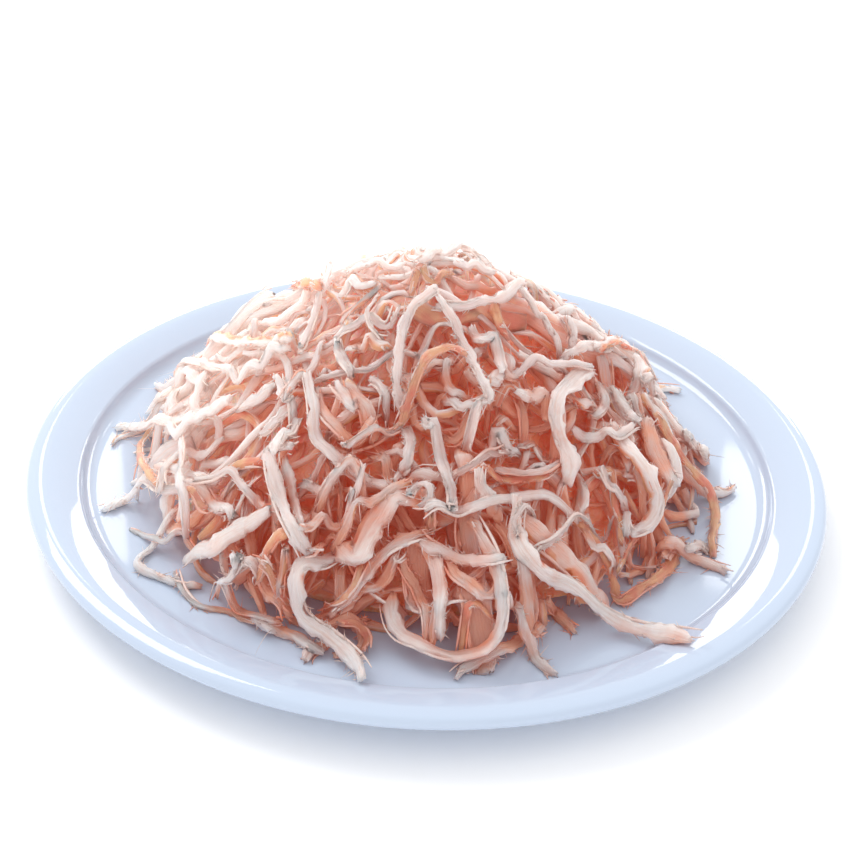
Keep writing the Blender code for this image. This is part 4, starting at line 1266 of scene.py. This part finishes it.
def hairs(generator):
    """Each hair's shred, middle line and radius: the fuzz, then the longer ones."""
    upper = made["laid"][int(BURIED_SHARE * len(made["laid"])):]
    for shred, line, lean in upper:
        for _ in range(int(FUZZ * shred["length"] * generator.random() ** 1.5)):
            length = FUZZ_LENGTH[0] + generator.exponential(FUZZ_LENGTH[1])
            middle, share = hair(shred, line, lean, generator, length, FUZZ_RINGS)
            yield shred, middle, generator.uniform(*FUZZ_RADIUS) * (HAIR_FULL - share)
    for _ in range(heap_settings().fibres):
        shred, line, lean = upper[generator.integers(len(upper))]
        length = min(HAIR_LENGTH[0] + generator.exponential(HAIR_LENGTH[1]), LONGEST_HAIR)
        middle, share = hair(shred, line, lean, generator, length, HAIR_RINGS)
        yield shred, middle, generator.uniform(*HAIR_RADIUS) * (HAIR_FULL - share)


class MakeFibres(bpy.types.Operator):
    """Fray the shreds with fuzz along their torn edges and longer loose hairs"""

    bl_idname = "squid.make_fibres"
    bl_label = "Make fibres"

    def execute(self, context):
        tubes = []
        for shred, middle, radius in hairs(np.random.default_rng(heap_settings().seed + 1)):
            points = clear_of_plate(tube_rings(middle, radius, HAIR_ROUND))
            skin = np.full(points.shape[:2], 0.3 if shred["kind"] in (SKIN, BLUSH) else 0.0)
            # Hairs get a paler painted shade and glow than their shred
            warmth = shade_glow_at(points, made["top"], shred["tone"] - PALER)
            tubes.append((points, skin, points / MM, warmth))
        piece = tubes_piece("fibres", tubes)
        dress(piece, dried_flesh(*FIBRE_FINISH), "squid_heap")
        return {"FINISHED"}


# Stage


def looking(yaw, pitch, roll):
    """Rotation of a camera or light that looks level along +Y when all three are zero."""
    ahead = Vector((math.sin(yaw) * math.cos(pitch), math.cos(yaw) * math.cos(pitch), -math.sin(pitch)))
    right = ahead.cross(Vector((0, 0, 1))).normalized()
    up = right.cross(ahead)
    turned = math.cos(roll) * right + math.sin(roll) * up
    upright = -math.sin(roll) * right + math.cos(roll) * up
    return Matrix((turned, upright, -ahead)).transposed().to_4x4()


def area_light(name, place, aim, width, height, power):
    """A white rectangular light at a place, turned to its aim."""
    lamp = bpy.data.lights.new(name, "AREA")
    lamp.shape = "RECTANGLE"
    lamp.size, lamp.size_y, lamp.energy = width, height, power
    light = bpy.data.objects.new(name, lamp)
    light.location = place
    light.rotation_euler = (Vector(aim) - Vector(place)).to_track_quat("-Z", "Y").to_euler()
    bpy.context.scene.collection.objects.link(light)


class MakeStage(bpy.types.Operator):
    """Lay the pale floor and set the window, softbox, sky and camera"""

    bl_idname = "squid.make_stage"
    bl_label = "Make stage"

    def execute(self, context):
        stage = context.scene.squid_stage
        deselect_all()
        bpy.ops.mesh.primitive_plane_add(size=STAGE_SIZE)
        floor = context.object
        floor.name = "floor"
        material = new_material("pale floor", Base_Color=(*stage.floor, 1.0), Roughness=0.9,
                                Specular_IOR_Level=0.0)[0]
        floor.data.materials.append(material)
        for name, place, aim, width, height in LIGHTS:
            area_light(name, place, aim, width, height, getattr(stage, name))
        world = bpy.data.worlds.new("sky")
        world.use_nodes = True
        background = world.node_tree.nodes["Background"]
        feed(background, Color=(1, 1, 1, 1), Strength=stage.sky)
        context.scene.world = world
        lens = bpy.data.cameras.new("camera")
        lens.lens, lens.sensor_width = CAMERA_LENS, SENSOR
        lens.clip_start = 0.01
        camera = bpy.data.objects.new("camera", lens)
        angles = map(math.radians, CAMERA_ANGLES)
        camera.matrix_world = Matrix.Translation(CAMERA_PLACE) @ looking(*angles)
        context.scene.collection.objects.link(camera)
        context.scene.camera = camera
        context.scene.view_settings.view_transform = "Standard"
        context.scene.cycles.use_denoising = True
        context.scene.cycles.diffuse_bounces = 8
        return {"FINISHED"}


class SquidPanel(bpy.types.Panel):
    """Settings and steps of the squid heap"""

    bl_idname = "VIEW3D_PT_squid"
    bl_label = "Dried squid"
    bl_space_type = "VIEW_3D"
    bl_region_type = "UI"
    bl_category = "Dried squid"

    def draw(self, context):
        for group in (context.scene.squid_plate, context.scene.squid_heap, context.scene.squid_stage):
            for name in group.__annotations__:
                self.layout.prop(group, name)
        for step in STEPS:
            self.layout.operator(step.bl_idname)


STEPS = (MakeStage, MakePlate, MakeCore, MakeShreds, MakeFibres)
GROUPS = {"squid_plate": PlateSettings, "squid_heap": HeapSettings, "squid_stage": StageSettings}


def register():
    """Make the classes and the scene's settings known."""
    for kind in (*GROUPS.values(), *STEPS, SquidPanel):
        bpy.utils.register_class(kind)
    for name, kind in GROUPS.items():
        setattr(bpy.types.Scene, name, PointerProperty(type=kind))


def unregister():
    """Take them back in the opposite order."""
    for name in GROUPS:
        delattr(bpy.types.Scene, name)
    for kind in (SquidPanel, *reversed(STEPS), *reversed(GROUPS.values())):
        bpy.utils.unregister_class(kind)


def main():
    """Make every piece in order."""
    register()
    for step in STEPS:
        family, name = step.bl_idname.split(".")
        getattr(getattr(bpy.ops, family), name)()


if __name__ == "__main__":
    main()
